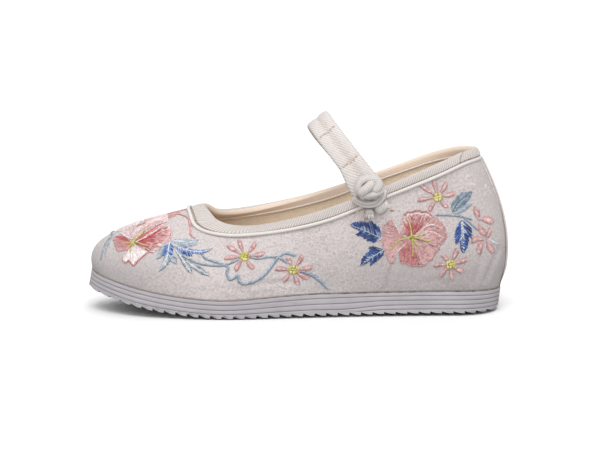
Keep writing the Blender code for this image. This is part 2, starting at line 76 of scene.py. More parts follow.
# the last: the same named sizes as the solids
last = {
    "toeX": -125.6, "heelX": 119.6, "axisY": 3.4, "toeSwing": 5.0, "swingFromX": -30.0,
    "toeReach": 46.0, "heelReach": 27.0, "toeSpring": 13.6, "springFromX": -30.0, "springPower": 2.0,
    # x, outer and inner half width of the sole's outline
    "outline": ((-124, 36, 33), (-92, 39.5, 38), (-58, 43.2, 41), (-38, 43.4, 40.2), (0, 38, 34),
                (35, 33.4, 30.6), (75, 30.4, 29.6), (119.6, 29, 29)),
}
wallSizes = {
    "thickness": 1.7, "featherInset": 0.4, "gap": 0.3, "throatX": -56.6, "backX": 104.6, "reach": 34.0,
    "near": 0.03, "depthSteps": 161, "fineSteps": 3001,
    # x, outer and inner half width, height, how much higher the inner side is
    "collar": ((-56.6, 25, 25, 60.6, 0), (-48.5, 26, 26, 54.4, 1.6), (-37, 28, 27.5, 52, 3.2),
               (-20, 30.2, 28.6, 53.5, 4.2), (10, 30.6, 28.8, 60.6, 4.2), (51, 28.4, 27.4, 75.2, 3),
               (81, 25.2, 24.8, 87.4, 1.8), (96, 22, 22, 93, 0.8), (104.6, 20, 20, 94.8, 0)),
    # place from toe to heel, rise, bulge, fall, lead
    "shape": ((0, 17.5, 5.4, 12, 0.8), (0.2, 20, 3, 10.5, 0.64), (0.35, 20, 2.4, 13, 0.52),
              (0.5, 19, 2.8, 17, 0.44), (0.7, 21, 4.2, 22, 0.6), (0.85, 23.5, 6.4, 27, 0.95),
              (1, 25.5, 9, 28, 1.06)),
}
soleSizes = {
    # x, top and the four grooves above the bottom line
    "layers": ((-124, 10.1, 7.6, 5.1, 2.8, 1.7), (-95, 10.3, 7.9, 5.2, 2.5, 1.5), (-45, 10.8, 8.3, 5.3, 2.8, 1.6),
               (5, 13.9, 11.2, 7.9, 4.7, 2.6), (28, 14.1, 11.7, 8.3, 4.8, 2.8), (50, 14.3, 12.1, 9.4, 6.6, 4.1),
               (98, 14.4, 12.0, 9.4, 6.7, 4.1), (119.6, 13.2, 11.1, 8.7, 6.2, 3.8)),
    "heelLayerFrom": 27.0, "heelLayerFull": 40.0, "sideDraft": 0.9,
    "toothPitch": 6.75, "toothDepth": 1.9, "toothLand": 2.4, "toothStart": -145.6,
}


def tableValue(rows, at, column):
    rows = np.asarray(rows, float)
    x, y = rows[:, 0], rows[:, column]
    at = np.clip(np.asarray(at, float), x[0], x[-1])
    slope = np.zeros_like(y)
    slope[1:-1] = (y[2:] - y[:-2]) / (x[2:] - x[:-2])
    slope[-1] = (y[-1] - y[-2]) / (x[-1] - x[-2])
    i = np.clip(np.searchsorted(x, at, side="right") - 1, 0, len(x) - 2)
    span = x[i + 1] - x[i]
    t = (at - x[i]) / span
    return ((2 * t**3 - 3 * t**2 + 1) * y[i] + (t**3 - 2 * t**2 + t) * span * slope[i]
            + (3 * t**2 - 2 * t**3) * y[i + 1] + (t**3 - t**2) * span * slope[i + 1])


def smoothStep(start, end, at):
    t = np.clip((np.asarray(at, float) - start) / (end - start), 0, 1)
    return t * t * (3 - 2 * t)


def unit(v):
    return v / np.maximum(np.linalg.norm(v, axis=-1, keepdims=True), 1e-9)


def lengthAlong(line):
    # distance walked along a line of points, from zero at its start
    return np.concatenate([[0], np.cumsum(np.linalg.norm(np.diff(line, axis=0), axis=-1))])


def pointAt(at, length, line):
    # place on a line at a walked distance
    return np.stack([np.interp(at, length, column) for column in np.transpose(line)], -1)


def roundedEnd(distance, reach):
    left = np.clip(1 - distance / reach, 0, 1)
    return np.sqrt(np.clip(1 - left * left, 0, 1))


def sideOf(angle):
    angle = np.mod(np.asarray(angle, float), 2 * pi)
    outer = angle <= pi
    return np.where(outer, angle / pi, 2 - angle / pi), np.where(outer, -1.0, 1.0)


def lastAxis(x):
    return last["axisY"] + last["toeSwing"] * (1 - smoothStep(last["toeX"], last["swingFromX"], x))


def outlineAt(angle):
    place, side = sideOf(angle)
    toe, heel = last["toeX"], last["heelX"]
    x = (toe + heel) / 2 - (heel - toe) / 2 * np.cos(pi * place)
    width = np.where(side < 0, tableValue(last["outline"], x, 1), tableValue(last["outline"], x, 2))
    width = width * roundedEnd(x - toe, last["toeReach"]) * roundedEnd(heel - x, last["heelReach"])
    return np.stack([x, lastAxis(x) + side * width, np.zeros_like(x)], -1)


def outwardAt(angle):
    ahead = outlineAt(np.asarray(angle) + 0.02) - outlineAt(np.asarray(angle) - 0.02)
    return unit(np.stack([ahead[..., 1], -ahead[..., 0], np.zeros_like(ahead[..., 0])], -1))


def bottomHeight(x):
    reach = np.clip((last["springFromX"] - x) / (last["springFromX"] - last["toeX"]), 0, None)
    return last["toeSpring"] * reach ** last["springPower"]


def lifted(flatPoint, height):
    x = flatPoint[..., 0]
    tilt = np.arctan(bottomHeight(x - 0.5) - bottomHeight(x + 0.5))
    return np.stack([x + height * np.sin(tilt), flatPoint[..., 1], bottomHeight(x) + height * np.cos(tilt)], -1)


def featherAt(angle):
    rim = outlineAt(angle) - outwardAt(angle) * wallSizes["featherInset"]
    return lifted(rim, tableValue(soleSizes["layers"], rim[..., 0], 1) + wallSizes["gap"])


def collarAt(angle):
    place, side = sideOf(angle)
    throat, back, rows = wallSizes["throatX"], wallSizes["backX"], wallSizes["collar"]
    x = (throat + back) / 2 - (back - throat) / 2 * np.cos(pi * place)
    width = np.where(side < 0, tableValue(rows, x, 1), tableValue(rows, x, 2))
    width = width * roundedEnd(x - throat, wallSizes["reach"]) * roundedEnd(back - x, wallSizes["reach"])
    rise = np.where(side > 0, tableValue(rows, x, 4), 0)
    return np.stack([x, lastAxis(x) + side * width, tableValue(rows, x, 3) + rise], -1)


def wallAt(angle, s):
    angle, s = np.broadcast_arrays(np.asarray(angle, float), np.asarray(s, float))
    place, _ = sideOf(angle)
    foot, top = featherAt(angle), collarAt(angle)
    run = (foot - top) * np.array([1.0, 1.0, 0.0])
    up = np.array([0.0, 0.0, 1.0])

    def shape(column):
        return tableValue(wallSizes["shape"], place, column)[..., None]

    lower = foot + up * shape(1) + outwardAt(angle) * shape(2)
    upper = top - up * shape(3) + run * shape(4)
    s = s[..., None]
    r = 1 - s
    return foot * r**3 + lower * (3 * r * r * s) + upper * (3 * r * s * s) + top * s**3


def wallFrame(angle, s):
    # points of the wall, their outward normals and the direction up the wall
    near = wallSizes["near"]
    low, high = np.clip(s - near, 0, 1), np.clip(s + near, 0, 1)
    middle = (low + high) / 2
    around = wallAt(angle + near, middle) - wallAt(angle - near, middle)
    along = unit(wallAt(angle, high) - wallAt(angle, low))
    normal = unit(np.cross(around, along))
    return wallAt(angle, s), normal, along


def depthTable(angles):
    # shares up the wall, and how far below the collar each of them lies
    s = np.linspace(1, 0, wallSizes["depthSteps"])
    step = np.linalg.norm(np.diff(wallAt(angles[:, None], s[None, :]), axis=1), axis=-1)
    return s, np.concatenate([np.zeros((len(angles), 1)), np.cumsum(step, axis=1)], 1)


def shareBelowCollar(angle, depth):
    s, passed = depthTable(angle)
    return np.array([np.interp(d, row, s) for d, row in zip(np.broadcast_to(depth, angle.shape), passed)])


def evenAngles(curve, count):
    # angles at an even pitch along a closed curve, from the heel round the toe to the heel
    fine = np.linspace(pi, 3 * pi, wallSizes["fineSteps"])
    length = lengthAlong(curve(fine))
    return np.interp(np.linspace(0, length[-1], count), length, fine), length[-1]


# meshes from grids
mergeWithin = 1e-7  # metres


def gridMesh(name, points, closeU=False, closeV=False, flat=None, slots=None, marks=None):
    # a Blender grid is moved onto the points; it may carry cloth coordinates, slots for its rows and a mark
    if closeU:
        points = np.concatenate([points, points[:1]], 0)
    if closeV:
        points = np.concatenate([points, points[:, :1]], 1)
    nu, nv = points.shape[:2]
    bm = bmesh.new()
    bmesh.ops.create_grid(bm, x_segments=nu - 1, y_segments=nv - 1, size=0.5)
    bm.verts.ensure_lookup_table()
    where = [(round((v.co.x + 0.5) * (nu - 1)), round((v.co.y + 0.5) * (nv - 1))) for v in bm.verts]
    mark = bm.verts.layers.float.new("mark") if marks is not None else None
    for v, (i, j) in zip(bm.verts, where):
        v.co = Vector(points[i, j]) * mm
        if mark:
            v[mark] = float(marks[i % marks.shape[0], j % marks.shape[1]])
    uv = bm.loops.layers.uv.new("cloth") if flat is not None else None
    for face in bm.faces:
        face.smooth = True
        corners = [where[v.index] for v in face.verts]
        if slots is not None:
            face.material_index = int(slots[min(j for _, j in corners)])
        if uv:
            for loop, (i, j) in zip(face.loops, corners):
                loop[uv].uv = flat[min(i, flat.shape[0] - 1), min(j, flat.shape[1] - 1)]
    bmesh.ops.remove_doubles(bm, verts=bm.verts, dist=mergeWithin)
    bmesh.ops.dissolve_degenerate(bm, edges=bm.edges, dist=mergeWithin)
    return meshObject(name, bm)


def meshObject(name, bm, outward=True):
    if outward:
        bmesh.ops.recalc_face_normals(bm, faces=bm.faces)
    mesh = bpy.data.meshes.new(name)
    bm.to_mesh(mesh)
    bm.free()
    piece = bpy.data.objects.new(name, mesh)
    bpy.context.scene.collection.objects.link(piece)
    return piece


def finishPiece(piece, slot, materials, *nodes):
    for material in materials:
        piece.data.materials.append(material)
    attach(piece, "root")
    if nodes:
        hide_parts(*nodes)


addCamera()
print("camera set")


# the upper: one fine grid, from the heel along the inner side, round the toe and back along the outer side
cloth = {"columns": 541, "rows": 61, "liningRows": 22, "patternColumns": 121, "patternRows": 17, "seamGap": 0.004,
         "searchSteps": 120, "searchPixel": 0.5}


def flattenPattern():
    # the cloth is cut flat: the wall is open at the heel and unwrapped with little stretch
    nu, nv = cloth["patternColumns"], cloth["patternRows"]
    points = wallAt(np.linspace(pi + cloth["seamGap"], 3 * pi - cloth["seamGap"], nu)[:, None],
                    np.linspace(0, 1, nv)[None, :])
    piece = gridMesh("flat_pattern", points, flat=np.zeros((nu, nv, 2)))
    bpy.ops.object.select_all(action="DESELECT")
    bpy.context.view_layer.objects.active = piece
    piece.select_set(True)
    bpy.ops.object.mode_set(mode="EDIT")
    bpy.ops.mesh.select_all(action="SELECT")
    bpy.ops.uv.unwrap(method="MINIMUM_STRETCH", margin=0.0)
    bpy.ops.object.mode_set(mode="OBJECT")
    uv = np.zeros((len(piece.data.vertices), 2))
    for loop, entry in zip(piece.data.loops, piece.data.uv_layers["cloth"].data):
        uv[loop.vertex_index] = entry.uv
    places = np.array([v.co for v in piece.data.vertices]) / mm
    flat = np.array([[uv[np.argmin(((places - p) ** 2).sum(1))] for p in row] for row in points])
    bpy.data.objects.remove(piece)
    size3 = np.linalg.norm(np.cross(np.diff(points, axis=0)[:, :-1], np.diff(points, axis=1)[:-1]), axis=-1).sum()
    du, dv = np.diff(flat, axis=0)[:, :-1], np.diff(flat, axis=1)[:-1]
    turn = du[..., 0] * dv[..., 1] - du[..., 1] * dv[..., 0]
    flat *= math.sqrt(size3 / np.abs(turn).sum())
    toe, throat = flat[nu // 2, 0], flat[nu // 2, -1]
    axis = (throat - toe) / np.hypot(*(throat - toe))
    flat = (flat - throat) @ np.array([[axis[0], -axis[1]], [axis[1], axis[0]]])
    return np.stack([-flat[..., 1], flat[..., 0]], -1)  # along from the toe to the outer heel, and up to the collar


def finer(coarse, nu, nv):
    iu, iv = np.linspace(0, coarse.shape[0] - 1, nu), np.linspace(0, coarse.shape[1] - 1, nv)
    wide = np.stack([[np.interp(iv, np.arange(coarse.shape[1]), row[:, c]) for row in coarse]
                     for c in range(coarse.shape[2])], -1)
    return np.stack([np.stack([np.interp(iu, np.arange(coarse.shape[0]), wide[:, j, c])
                               for j in range(nv)], -1) for c in range(coarse.shape[2])], -1)


patternFlat = flattenPattern()
wallAngles = np.linspace(pi, 3 * pi, cloth["columns"])
wallShares = np.linspace(0, 1, cloth["rows"])
wallFlat = finer(patternFlat, cloth["columns"], cloth["rows"])
wallPoints, wallNormals, _ = wallFrame(wallAngles[:, None], wallShares[None, :])
print("pattern flattened")


def gridTriangles(nu, nv):
    i, j = np.meshgrid(np.arange(nu - 1), np.arange(nv - 1), indexing="ij")
    a = (i * nv + j).ravel()
    return np.concatenate([np.stack([a, a + nv, a + nv + 1], -1), np.stack([a, a + nv + 1, a + 1], -1)])


wallTriangles = gridTriangles(cloth["columns"], cloth["rows"])
flatCorners = [Vector((p[0], p[1], 0)) for p in wallFlat.reshape(-1, 2)]
smoothWall = [Vector(p) for p in wallPoints.reshape(-1, 3)]
smoothTree = BVHTree.FromPolygons(smoothWall, wallTriangles.tolist())
flatTree = BVHTree.FromPolygons(flatCorners, wallTriangles.tolist())


def flatOf(px, py):
    # place in the flat cloth of a pixel of the photograph
    for step in range(cloth["searchSteps"]):  # a pixel just off the cloth takes the nearest one above or below
        aside = (step + 1) // 2 * (cloth["searchPixel"] if step % 2 else -cloth["searchPixel"])
        spot, _, index, _ = smoothTree.ray_cast(*pixelRay(px, py + aside))
        if spot is not None:
            a, b, c = wallTriangles[index]
            flat = barycentric_transform(spot, smoothWall[a], smoothWall[b], smoothWall[c],
                                         flatCorners[a], flatCorners[b], flatCorners[c])
            return np.array(flat[:2])


def flatLine(*pixels):
    return np.array([flatOf(*p) for p in pixels])


def smoothLine(points, steps=6, closed=False):
    # a curve that passes through all points
    points = np.asarray(points, float)
    if closed:
        line = np.concatenate([points[-1:], points, points[:2]])
    else:
        line = np.concatenate([2 * points[:1] - points[1:2], points, 2 * points[-1:] - points[-2:-1]])
    out = []
    for a, b, c, d in zip(line, line[1:], line[2:], line[3:]):
        for t in np.arange(steps) / steps:
            out.append(0.5 * (2 * b + (c - a) * t + (2 * a - 5 * b + 4 * c - d) * t**2
                              + (3 * b - 3 * c + d - a) * t**3))
    return np.array(out if closed else out + [points[-1]])


def lineDistance(places, line):
    best = np.full(places.shape[:-1], 1e9)
    for a, b in zip(line[:-1], line[1:]):
        t = np.clip(((places - a) @ (b - a)) / max((b - a) @ (b - a), 1e-9), 0, 1)
        best = np.minimum(best, np.linalg.norm(places - a - t[..., None] * (b - a), axis=-1))
    return best


# creases of the cloth: a line of pixels, depth and half width of the trough
creases = (
    (((390, 263), (386, 274), (381.5, 289)), -0.42, 1.3),
    (((394.5, 263), (390.5, 275), (386, 290)), 0.5, 2.0),
    (((318, 262), (306, 268), (296, 271)), -0.22, 1.5),
    (((270, 279), (284, 276.5), (297, 279)), -0.3, 1.4),
    (((499, 250), (493, 262), (486, 279)), 0.6, 2.4),
    (((252, 287), (270, 283), (292, 283)), 0.45, 2.2),
    (((262, 293), (285, 290), (312, 294)), 0.3, 2.0),
    (((225, 288), (240, 291), (258, 297)), 0.3, 2.4),
    (((475, 281), (480, 268), (481, 258)), 0.35, 2.2),
    (((345, 262), (338, 276), (336, 291)), 0.3, 3.0),
    (((425, 284), (436, 280), (446, 284)), 0.25, 2.2),
    (((300, 226), (322, 243), (336, 262)), 0.25, 3.4),
)
creaseShape = {"innerShare": 0.7, "shoulder": 0.4, "shoulderAt": 1.9, "ripple": 0.10, "swell": 0.14,
               "foot": (0.0, 0.06), "collar": (0.78, 0.9)}  # flat again near the sole and under the tape


def creaseField():
    shape = creaseShape
    field = np.zeros(wallFlat.shape[:2])
    for pixels, depth, width in creases:
        line = flatLine(*pixels)
        for mirror in (1, -1):  # the inner side creases at the same places, less deeply
            d = lineDistance(wallFlat, line * np.array([mirror, 1])) / width
            share = depth * (1 if mirror > 0 else shape["innerShare"])
            field += share * (shape["shoulder"] * np.exp(-((d - shape["shoulderAt"]) ** 2)) - np.exp(-(d**2)))
    a, b = wallFlat[..., 0], wallFlat[..., 1]
    field += shape["ripple"] * np.sin(a / 5.3 + 0.6 * np.sin(b / 7)) * np.sin(b / 9 + 0.8 + a / 31)
    field += shape["swell"] * np.sin(a / 11 + b / 13 + 1.3) * np.cos(b / 17 - a / 29)
    return field * smoothStep(*shape["foot"], wallShares) * (1 - smoothStep(*shape["collar"], wallShares))


wallPoints = wallPoints + wallNormals * creaseField()[..., None]
wallPoints[-1] = wallPoints[0] = (wallPoints[0] + wallPoints[-1]) / 2
creasedWall = [Vector(p) for p in wallPoints.reshape(-1, 3)]
wallNormalList = [Vector(n) for n in wallNormals.reshape(-1, 3)]


def clothAt(flat):
    # point and outward normal on the creased cloth of a place in the flat cloth
    spot, _, index, _ = flatTree.ray_cast(Vector((flat[0], flat[1], 1)), Vector((0, 0, -1)))
    if spot is None:
        spot, _, index, _ = flatTree.find_nearest(Vector((flat[0], flat[1], 0)))
    a, b, c = wallTriangles[index]
    flats = (flatCorners[a], flatCorners[b], flatCorners[c])
    point = barycentric_transform(spot, *flats, creasedWall[a], creasedWall[b], creasedWall[c])
    normal = barycentric_transform(spot, *flats, wallNormalList[a], wallNormalList[b], wallNormalList[c])
    return point, normal.normalized()


def makeUpper(outside, lining):
    shares = np.linspace(1, 0, cloth["liningRows"])
    points, normals, _ = wallFrame(wallAngles[:, None], shares[None, :])
    inside = points - normals * wallSizes["thickness"]
    everything = np.concatenate([wallPoints, inside], 1)[:-1]
    insideFlat = finer(wallFlat[:, ::-1], cloth["columns"], cloth["liningRows"])
    flat = np.concatenate([wallFlat, insideFlat], 1) * mm
    slots = [0] * (cloth["rows"] - 1) + [1] * cloth["liningRows"] + [0]
    piece = gridMesh("cloth_upper", everything, True, True, flat, slots)
    finishPiece(piece, "upper", (outside, lining), "upper")


# shader helpers
def srgb(*rgb):
    c = np.asarray(rgb, float) / 255
    return np.where(c <= 0.04045, c / 12.92, ((c + 0.055) / 1.055) ** 2.4)


def newGroup(name, inputs, outputs):
    tree = bpy.data.node_groups.new(name, "ShaderNodeTree")
    for label, kind, value in inputs:
        socket = tree.interface.new_socket(name=label, in_out="INPUT", socket_type="NodeSocket" + kind)
        if value is not None:
            socket.default_value = value
    for label, kind in outputs:
        tree.interface.new_socket(name=label, in_out="OUTPUT", socket_type="NodeSocket" + kind)
    return tree, tree.nodes.new("NodeGroupInput"), tree.nodes.new("NodeGroupOutput")


def math2(tree, operation, a, b=None, c=None):
    node = tree.nodes.new("ShaderNodeMath")
    node.operation = operation
    for socket, value in zip(node.inputs, (a, b, c)):
        if value is None:
            continue
        if isinstance(value, (int, float)):
            socket.default_value = value
        else:
            tree.links.new(value, socket)
    return node.outputs[0]


def add(tree, a, b):
    return math2(tree, "ADD", a, b)


def times(tree, a, b):
    return math2(tree, "MULTIPLY", a, b)


def setInputs(node, values):
    for label, value in values.items():
        node.inputs[label].default_value = value


def noise(tree, vector, scale, detail=2.0, stretch=None, rough=0.5):
    if stretch:
        mapping = tree.nodes.new("ShaderNodeMapping")
        mapping.inputs["Scale"].default_value = stretch
        tree.links.new(vector, mapping.inputs["Vector"])
        vector = mapping.outputs[0]
    node = tree.nodes.new("ShaderNodeTexNoise")
    setInputs(node, {"Scale": scale, "Detail": detail, "Roughness": rough})
    tree.links.new(vector, node.inputs["Vector"])
    return node.outputs["Fac"]


def mixColour(tree, factor, a, b, blend="MIX"):
    node = tree.nodes.new("ShaderNodeMix")
    node.data_type = "RGBA"
    node.blend_type = blend
    for socket, value in ((node.inputs["Factor"], factor), (node.inputs[6], a), (node.inputs[7], b)):
        if isinstance(value, (int, float)):
            socket.default_value = value
        elif isinstance(value, (tuple, np.ndarray)):
            socket.default_value = (*value[:3], 1.0)
        else:
            tree.links.new(value, socket)
    return node.outputs[2]


def remap(tree, value, low, high, toLow, toHigh):
    node = tree.nodes.new("ShaderNodeMapRange")
    for socket, number in zip(list(node.inputs)[1:5], (low, high, toLow, toHigh)):
        socket.default_value = number
    tree.links.new(value, node.inputs[0])
    return node.outputs[0]


plainWeave = {"wobbleScale": 260.0, "warpWobble": 1.2, "weftWobble": -1.0, "upSlub": (1500.0, 190.0, 1.0),
              "acrossSlub": (170.0, 1400.0, 1.0), "slubHeight": 2.0, "layShade": 0.35}


def plainWeaveGroup():
    # plain weave with uneven threads: height, and a shade that follows thick and thin threads
    tree, enter, leave = newGroup("plain_weave", [("Vector", "Vector", None), ("Threads", "Float", 1800.0),
                                                  ("Slub", "Float", 0.5)], [("Height", "Float"), ("Shade", "Float")])
    place = enter.outputs["Vector"]
    scaled = tree.nodes.new("ShaderNodeVectorMath")
    scaled.operation = "SCALE"
    tree.links.new(place, scaled.inputs[0])
    tree.links.new(enter.outputs["Threads"], scaled.inputs["Scale"])
    parts = tree.nodes.new("ShaderNodeSeparateXYZ")
    tree.links.new(scaled.outputs[0], parts.inputs[0])
    wobble = noise(tree, place, plainWeave["wobbleScale"])
    x = add(tree, parts.outputs[0], times(tree, wobble, plainWeave["warpWobble"]))
    y = add(tree, parts.outputs[1], times(tree, wobble, plainWeave["weftWobble"]))
    warp = math2(tree, "SINE", times(tree, math2(tree, "FRACT", x), pi))
    weft = math2(tree, "SINE", times(tree, math2(tree, "FRACT", y), pi))
    over = math2(tree, "FLOORED_MODULO", add(tree, math2(tree, "FLOOR", x), math2(tree, "FLOOR", y)), 2.0)
    high = times(tree, warp, math2(tree, "MULTIPLY_ADD", weft, 0.5, 0.5))
    low = times(tree, weft, math2(tree, "MULTIPLY_ADD", warp, 0.5, 0.5))
    lay = add(tree, times(tree, high, over), times(tree, low, math2(tree, "SUBTRACT", 1.0, over)))
    upSlub = noise(tree, place, 1.0, stretch=plainWeave["upSlub"])
    acrossSlub = noise(tree, place, 1.0, stretch=plainWeave["acrossSlub"])
    slub = math2(tree, "SUBTRACT", add(tree, upSlub, acrossSlub), 1.0)
    slub = times(tree, slub, enter.outputs["Slub"])
    tree.links.new(add(tree, lay, times(tree, slub, plainWeave["slubHeight"])), leave.inputs["Height"])
    tree.links.new(add(tree, times(tree, lay, plainWeave["layShade"]), slub), leave.inputs["Shade"])
    return tree


fibre = {"detail": 4.0, "roughness": 0.65, "cloudScale": 38.0, "fineShare": 0.8, "cloudShare": 0.2}


def fibreGroup():
    # loose fibres and small clouds of tone on any cloth or thread
    tree, enter, leave = newGroup("fibre_tone", [("Vector", "Vector", None), ("Size", "Float", 900.0)],
                                  [("Height", "Float"), ("Tone", "Float")])
    node = tree.nodes.new("ShaderNodeTexNoise")
    setInputs(node, {"Detail": fibre["detail"], "Roughness": fibre["roughness"]})
    tree.links.new(enter.outputs["Vector"], node.inputs["Vector"])
    tree.links.new(enter.outputs["Size"], node.inputs["Scale"])
    fine = node.outputs["Fac"]
    cloud = noise(tree, enter.outputs["Vector"], fibre["cloudScale"], 3.0)
    tree.links.new(fine, leave.inputs["Height"])
    mixed = add(tree, times(tree, fine, fibre["fineShare"]), times(tree, cloud, fibre["cloudShare"]))
    tree.links.new(mixed, leave.inputs["Tone"])
    return tree


weaveGroup, fibreTone = plainWeaveGroup(), fibreGroup()


def startMaterial(name, roughness, sheen=0.0):
    material = bpy.data.materials.new(name)
    material.use_nodes = True
    tree = material.node_tree
    shader = tree.nodes["Principled BSDF"]
    setInputs(shader, {"Roughness": roughness, "Specular IOR Level": 0.25, "Sheen Weight": sheen,
            "Sheen Roughness": 0.45})
    return material, tree, shader


def coordinate(tree, uv=True):
    if uv:
        node = tree.nodes.new("ShaderNodeUVMap")
        node.uv_map = "cloth"
        return node.outputs[0]
    return tree.nodes.new("ShaderNodeTexCoord").outputs["Object"]


def markValue(tree):
    # the value that a mesh carries at each vertex
    node = tree.nodes.new("ShaderNodeAttribute")
    node.attribute_name = "mark"
    return node.outputs["Fac"]


def placeGroup(tree, group, vector, **values):
    node = tree.nodes.new("ShaderNodeGroup")
    node.node_tree = group
    tree.links.new(vector, node.inputs["Vector"])
    setInputs(node, values)
    return node.outputs


def bumpTo(tree, shader, height, strength, distance):
    node = tree.nodes.new("ShaderNodeBump")
    setInputs(node, {"Strength": strength, "Distance": distance})
    tree.links.new(height, node.inputs["Height"])
    tree.links.new(node.outputs[0], shader.inputs["Normal"])


# painted shade with some soil near the sole: where the upper is greyed, and how much
soil = {"toe": (-0.05, -0.1), "heel": (-0.005, 0.05), "height": (0.052, 0.026), "lowShare": 0.46,
        "back": (0.07, 0.105), "backShare": 0.2}  # in metres, from clean to soiled


def shadeAndSoilMask(tree):
    # the cloth is greyer low on the toe and the heel, and up the heel's back: painted shade, with some soil near the
    # sole
    parts = tree.nodes.new("ShaderNodeSeparateXYZ")
    tree.links.new(coordinate(tree, False), parts.inputs[0])
    x, z = parts.outputs[0], parts.outputs[2]
    ends = math2(tree, "MAXIMUM", remap(tree, x, *soil["toe"], 0.0, 1.0), remap(tree, x, *soil["heel"], 0.0, 1.0))
    low = times(tree, ends, remap(tree, z, *soil["height"], 0.0, soil["lowShare"]))
    return math2(tree, "MAXIMUM", low, remap(tree, x, *soil["back"], 0.0, soil["backShare"]))


woven = {"roughness": 0.9, "fibreSize": 700.0, "fibreTone": 2.2, "shades": (0.82, 1.52), "fibreHeight": 0.9,
         "bumpDepth": 0.0003}


def wovenMaterial(name, light, dark, threads, slub, bump, sheen=0.15, soiled=None):
    material, tree, shader = startMaterial(name, woven["roughness"], sheen)
    vector = coordinate(tree)
    weave = placeGroup(tree, weaveGroup, vector, Threads=threads, Slub=slub)
    fibres = placeGroup(tree, fibreTone, vector, Size=woven["fibreSize"])
    shade = add(tree, weave["Shade"], times(tree, fibres["Tone"], woven["fibreTone"]))
    colour = mixColour(tree, remap(tree, shade, *woven["shades"], 0.0, 1.0), dark, light)
    # the soiled colour here stands for painted shade as well as soil
    if soiled is not None:
        colour = mixColour(tree, shadeAndSoilMask(tree), colour, soiled)
    tree.links.new(colour, shader.inputs["Base Color"])
    height = add(tree, weave["Height"], times(tree, fibres["Height"], woven["fibreHeight"]))
    bumpTo(tree, shader, height, bump, woven["bumpDepth"])
    return material


twill = {"roughness": 0.88, "sheen": 0.15, "yarnSize": 2600.0, "fibreSize": 520.0, "fibreTone": 0.55, "ribShade": 0.6,
         "shades": (0.1, 0.85), "bump": 0.5, "bumpDepth": 0.00018}


def twillMaterial(name, light, dark, uv=True):
    # the ribs are in the mesh: this adds their fine yarn and painted shade between them
    material, tree, shader = startMaterial(name, twill["roughness"], twill["sheen"])
    vector = coordinate(tree, uv)
    yarn = noise(tree, vector, twill["yarnSize"], 3.0)
    fibres = placeGroup(tree, fibreTone, vector, Size=twill["fibreSize"])
    # the mesh's mark paints shade into the ribs' troughs
    shade = add(tree, times(tree, fibres["Tone"], twill["fibreTone"]), times(tree, markValue(tree), twill["ribShade"]))
    colour = mixColour(tree, remap(tree, shade, *twill["shades"], 0.0, 1.0), dark, light)
    tree.links.new(colour, shader.inputs["Base Color"])
    bumpTo(tree, shader, add(tree, yarn, fibres["Height"]), twill["bump"], twill["bumpDepth"])
    return material


clothColours = {
    "upper": (srgb(231, 222, 220), srgb(182, 173, 172)), "lining": (srgb(255, 243, 224), srgb(246, 224, 198)),
    "tape": (srgb(217, 210, 206), srgb(160, 149, 143)), "tan": (srgb(234, 218, 203), srgb(212, 191, 173)),
    "strap": (srgb(227, 221, 219), srgb(190, 181, 175)), "cord": (srgb(220, 215, 212), srgb(176, 168, 164)),
    "piping": (srgb(230, 225, 222), srgb(204, 197, 193)),
}
# the upper's grey colour below is painted shade low on the toe and heel and up the heel's back, with some soil
outerCloth = wovenMaterial("upper_linen", *clothColours["upper"], 1750.0, 0.5, 0.7, sheen=0.3,
    soiled=srgb(150, 143, 145))
liningCloth = wovenMaterial("lining_linen", *clothColours["lining"], 1300.0, 0.6, 0.6)
tapeTwill = twillMaterial("tape_twill", *clothColours["tape"])
tanTwill = twillMaterial("tape_inside", *clothColours["tan"])
pipingCloth = twillMaterial("piping_cloth", *clothColours["piping"])
makeUpper(outerCloth, liningCloth)
print("upper made")


# collar binding: twill tape folded over the edge, its ribs in the mesh
binding = {
    "columns": 1600, "bendSteps": 3, "ribPitch": 1.55, "ribDepth": 0.34, "lean": 0.83, "tanFrom": 20,
    "ribRows": ((12, 18), (1.0, 0.1)),  # the ribs fade between these rows
    "throat": (-58, -43), "throatRibs": 0.25,  # smooth at the throat
    # painted shade: the lap line and the tape's lowest rows are darkened
    "lapX": 91.0, "lapHeight": 0.5, "lapSlant": 0.9, "lapWave": 0.8, "lapFade": 16, "lapShade": 0.6, "lapLine": 0.5,
    "edgeRows": 4, "edgeShade": 0.9,
    # the tape hangs lower along the waist, where the wall leans in
    "depths": ((-140, 1.0), (-60, 1.15), (-47, 2.1), (-28, 2.4), (-12, 2.3), (7, 1.95), (25, 1.65), (42, 1.1),
               (58, 0.85), (140, 0.75)),
    # out from the wall and up along it; the tape's outside, its tan inside, its white inner edge, and back
    "outside": ((0.35, -4.8), (1.0, -4.9), (1.35, -4.3), (1.5, -3.0), (1.5, -1.4), (1.3, 0.1), (0.7, 1.15),
                (-0.3, 1.6), (-1.4, 1.5)),
    "inside": ((-2.3, 1.0), (-2.85, 0.1), (-3.0, -1.4), (-3.0, -3.2), (-2.95, -4.1)),
    "edge": ((-3.4, -4.3), (-3.6, -4.8), (-3.35, -5.3), (-2.7, -5.35)),
    "under": ((-2.1, -5.0), (-2.1, -2.0), (-2.1, 0.7), (0.3, 0.7), (0.3, -2.0)),
}


def flatGrid(along, across):
    # cloth coordinates of a grid from distances along and across it
    return np.stack(np.broadcast_arrays(along[:, None] * mm, across[None, :] * mm), -1)


def collarSweep(angles, section):
    # the section's points carried round the collar
    s, passed = depthTable(angles)
    stretch = tableValue(binding["depths"], collarAt(angles)[:, 0], 1)
    rows = []
    for out, up in section:
        share = np.array([np.interp(max(0.0, -up) * k, row, s) for row, k in zip(passed, stretch)])
        base, normal, along = wallFrame(angles, share)
        rows.append((base, normal, along, max(0.0, up), out))
    return rows


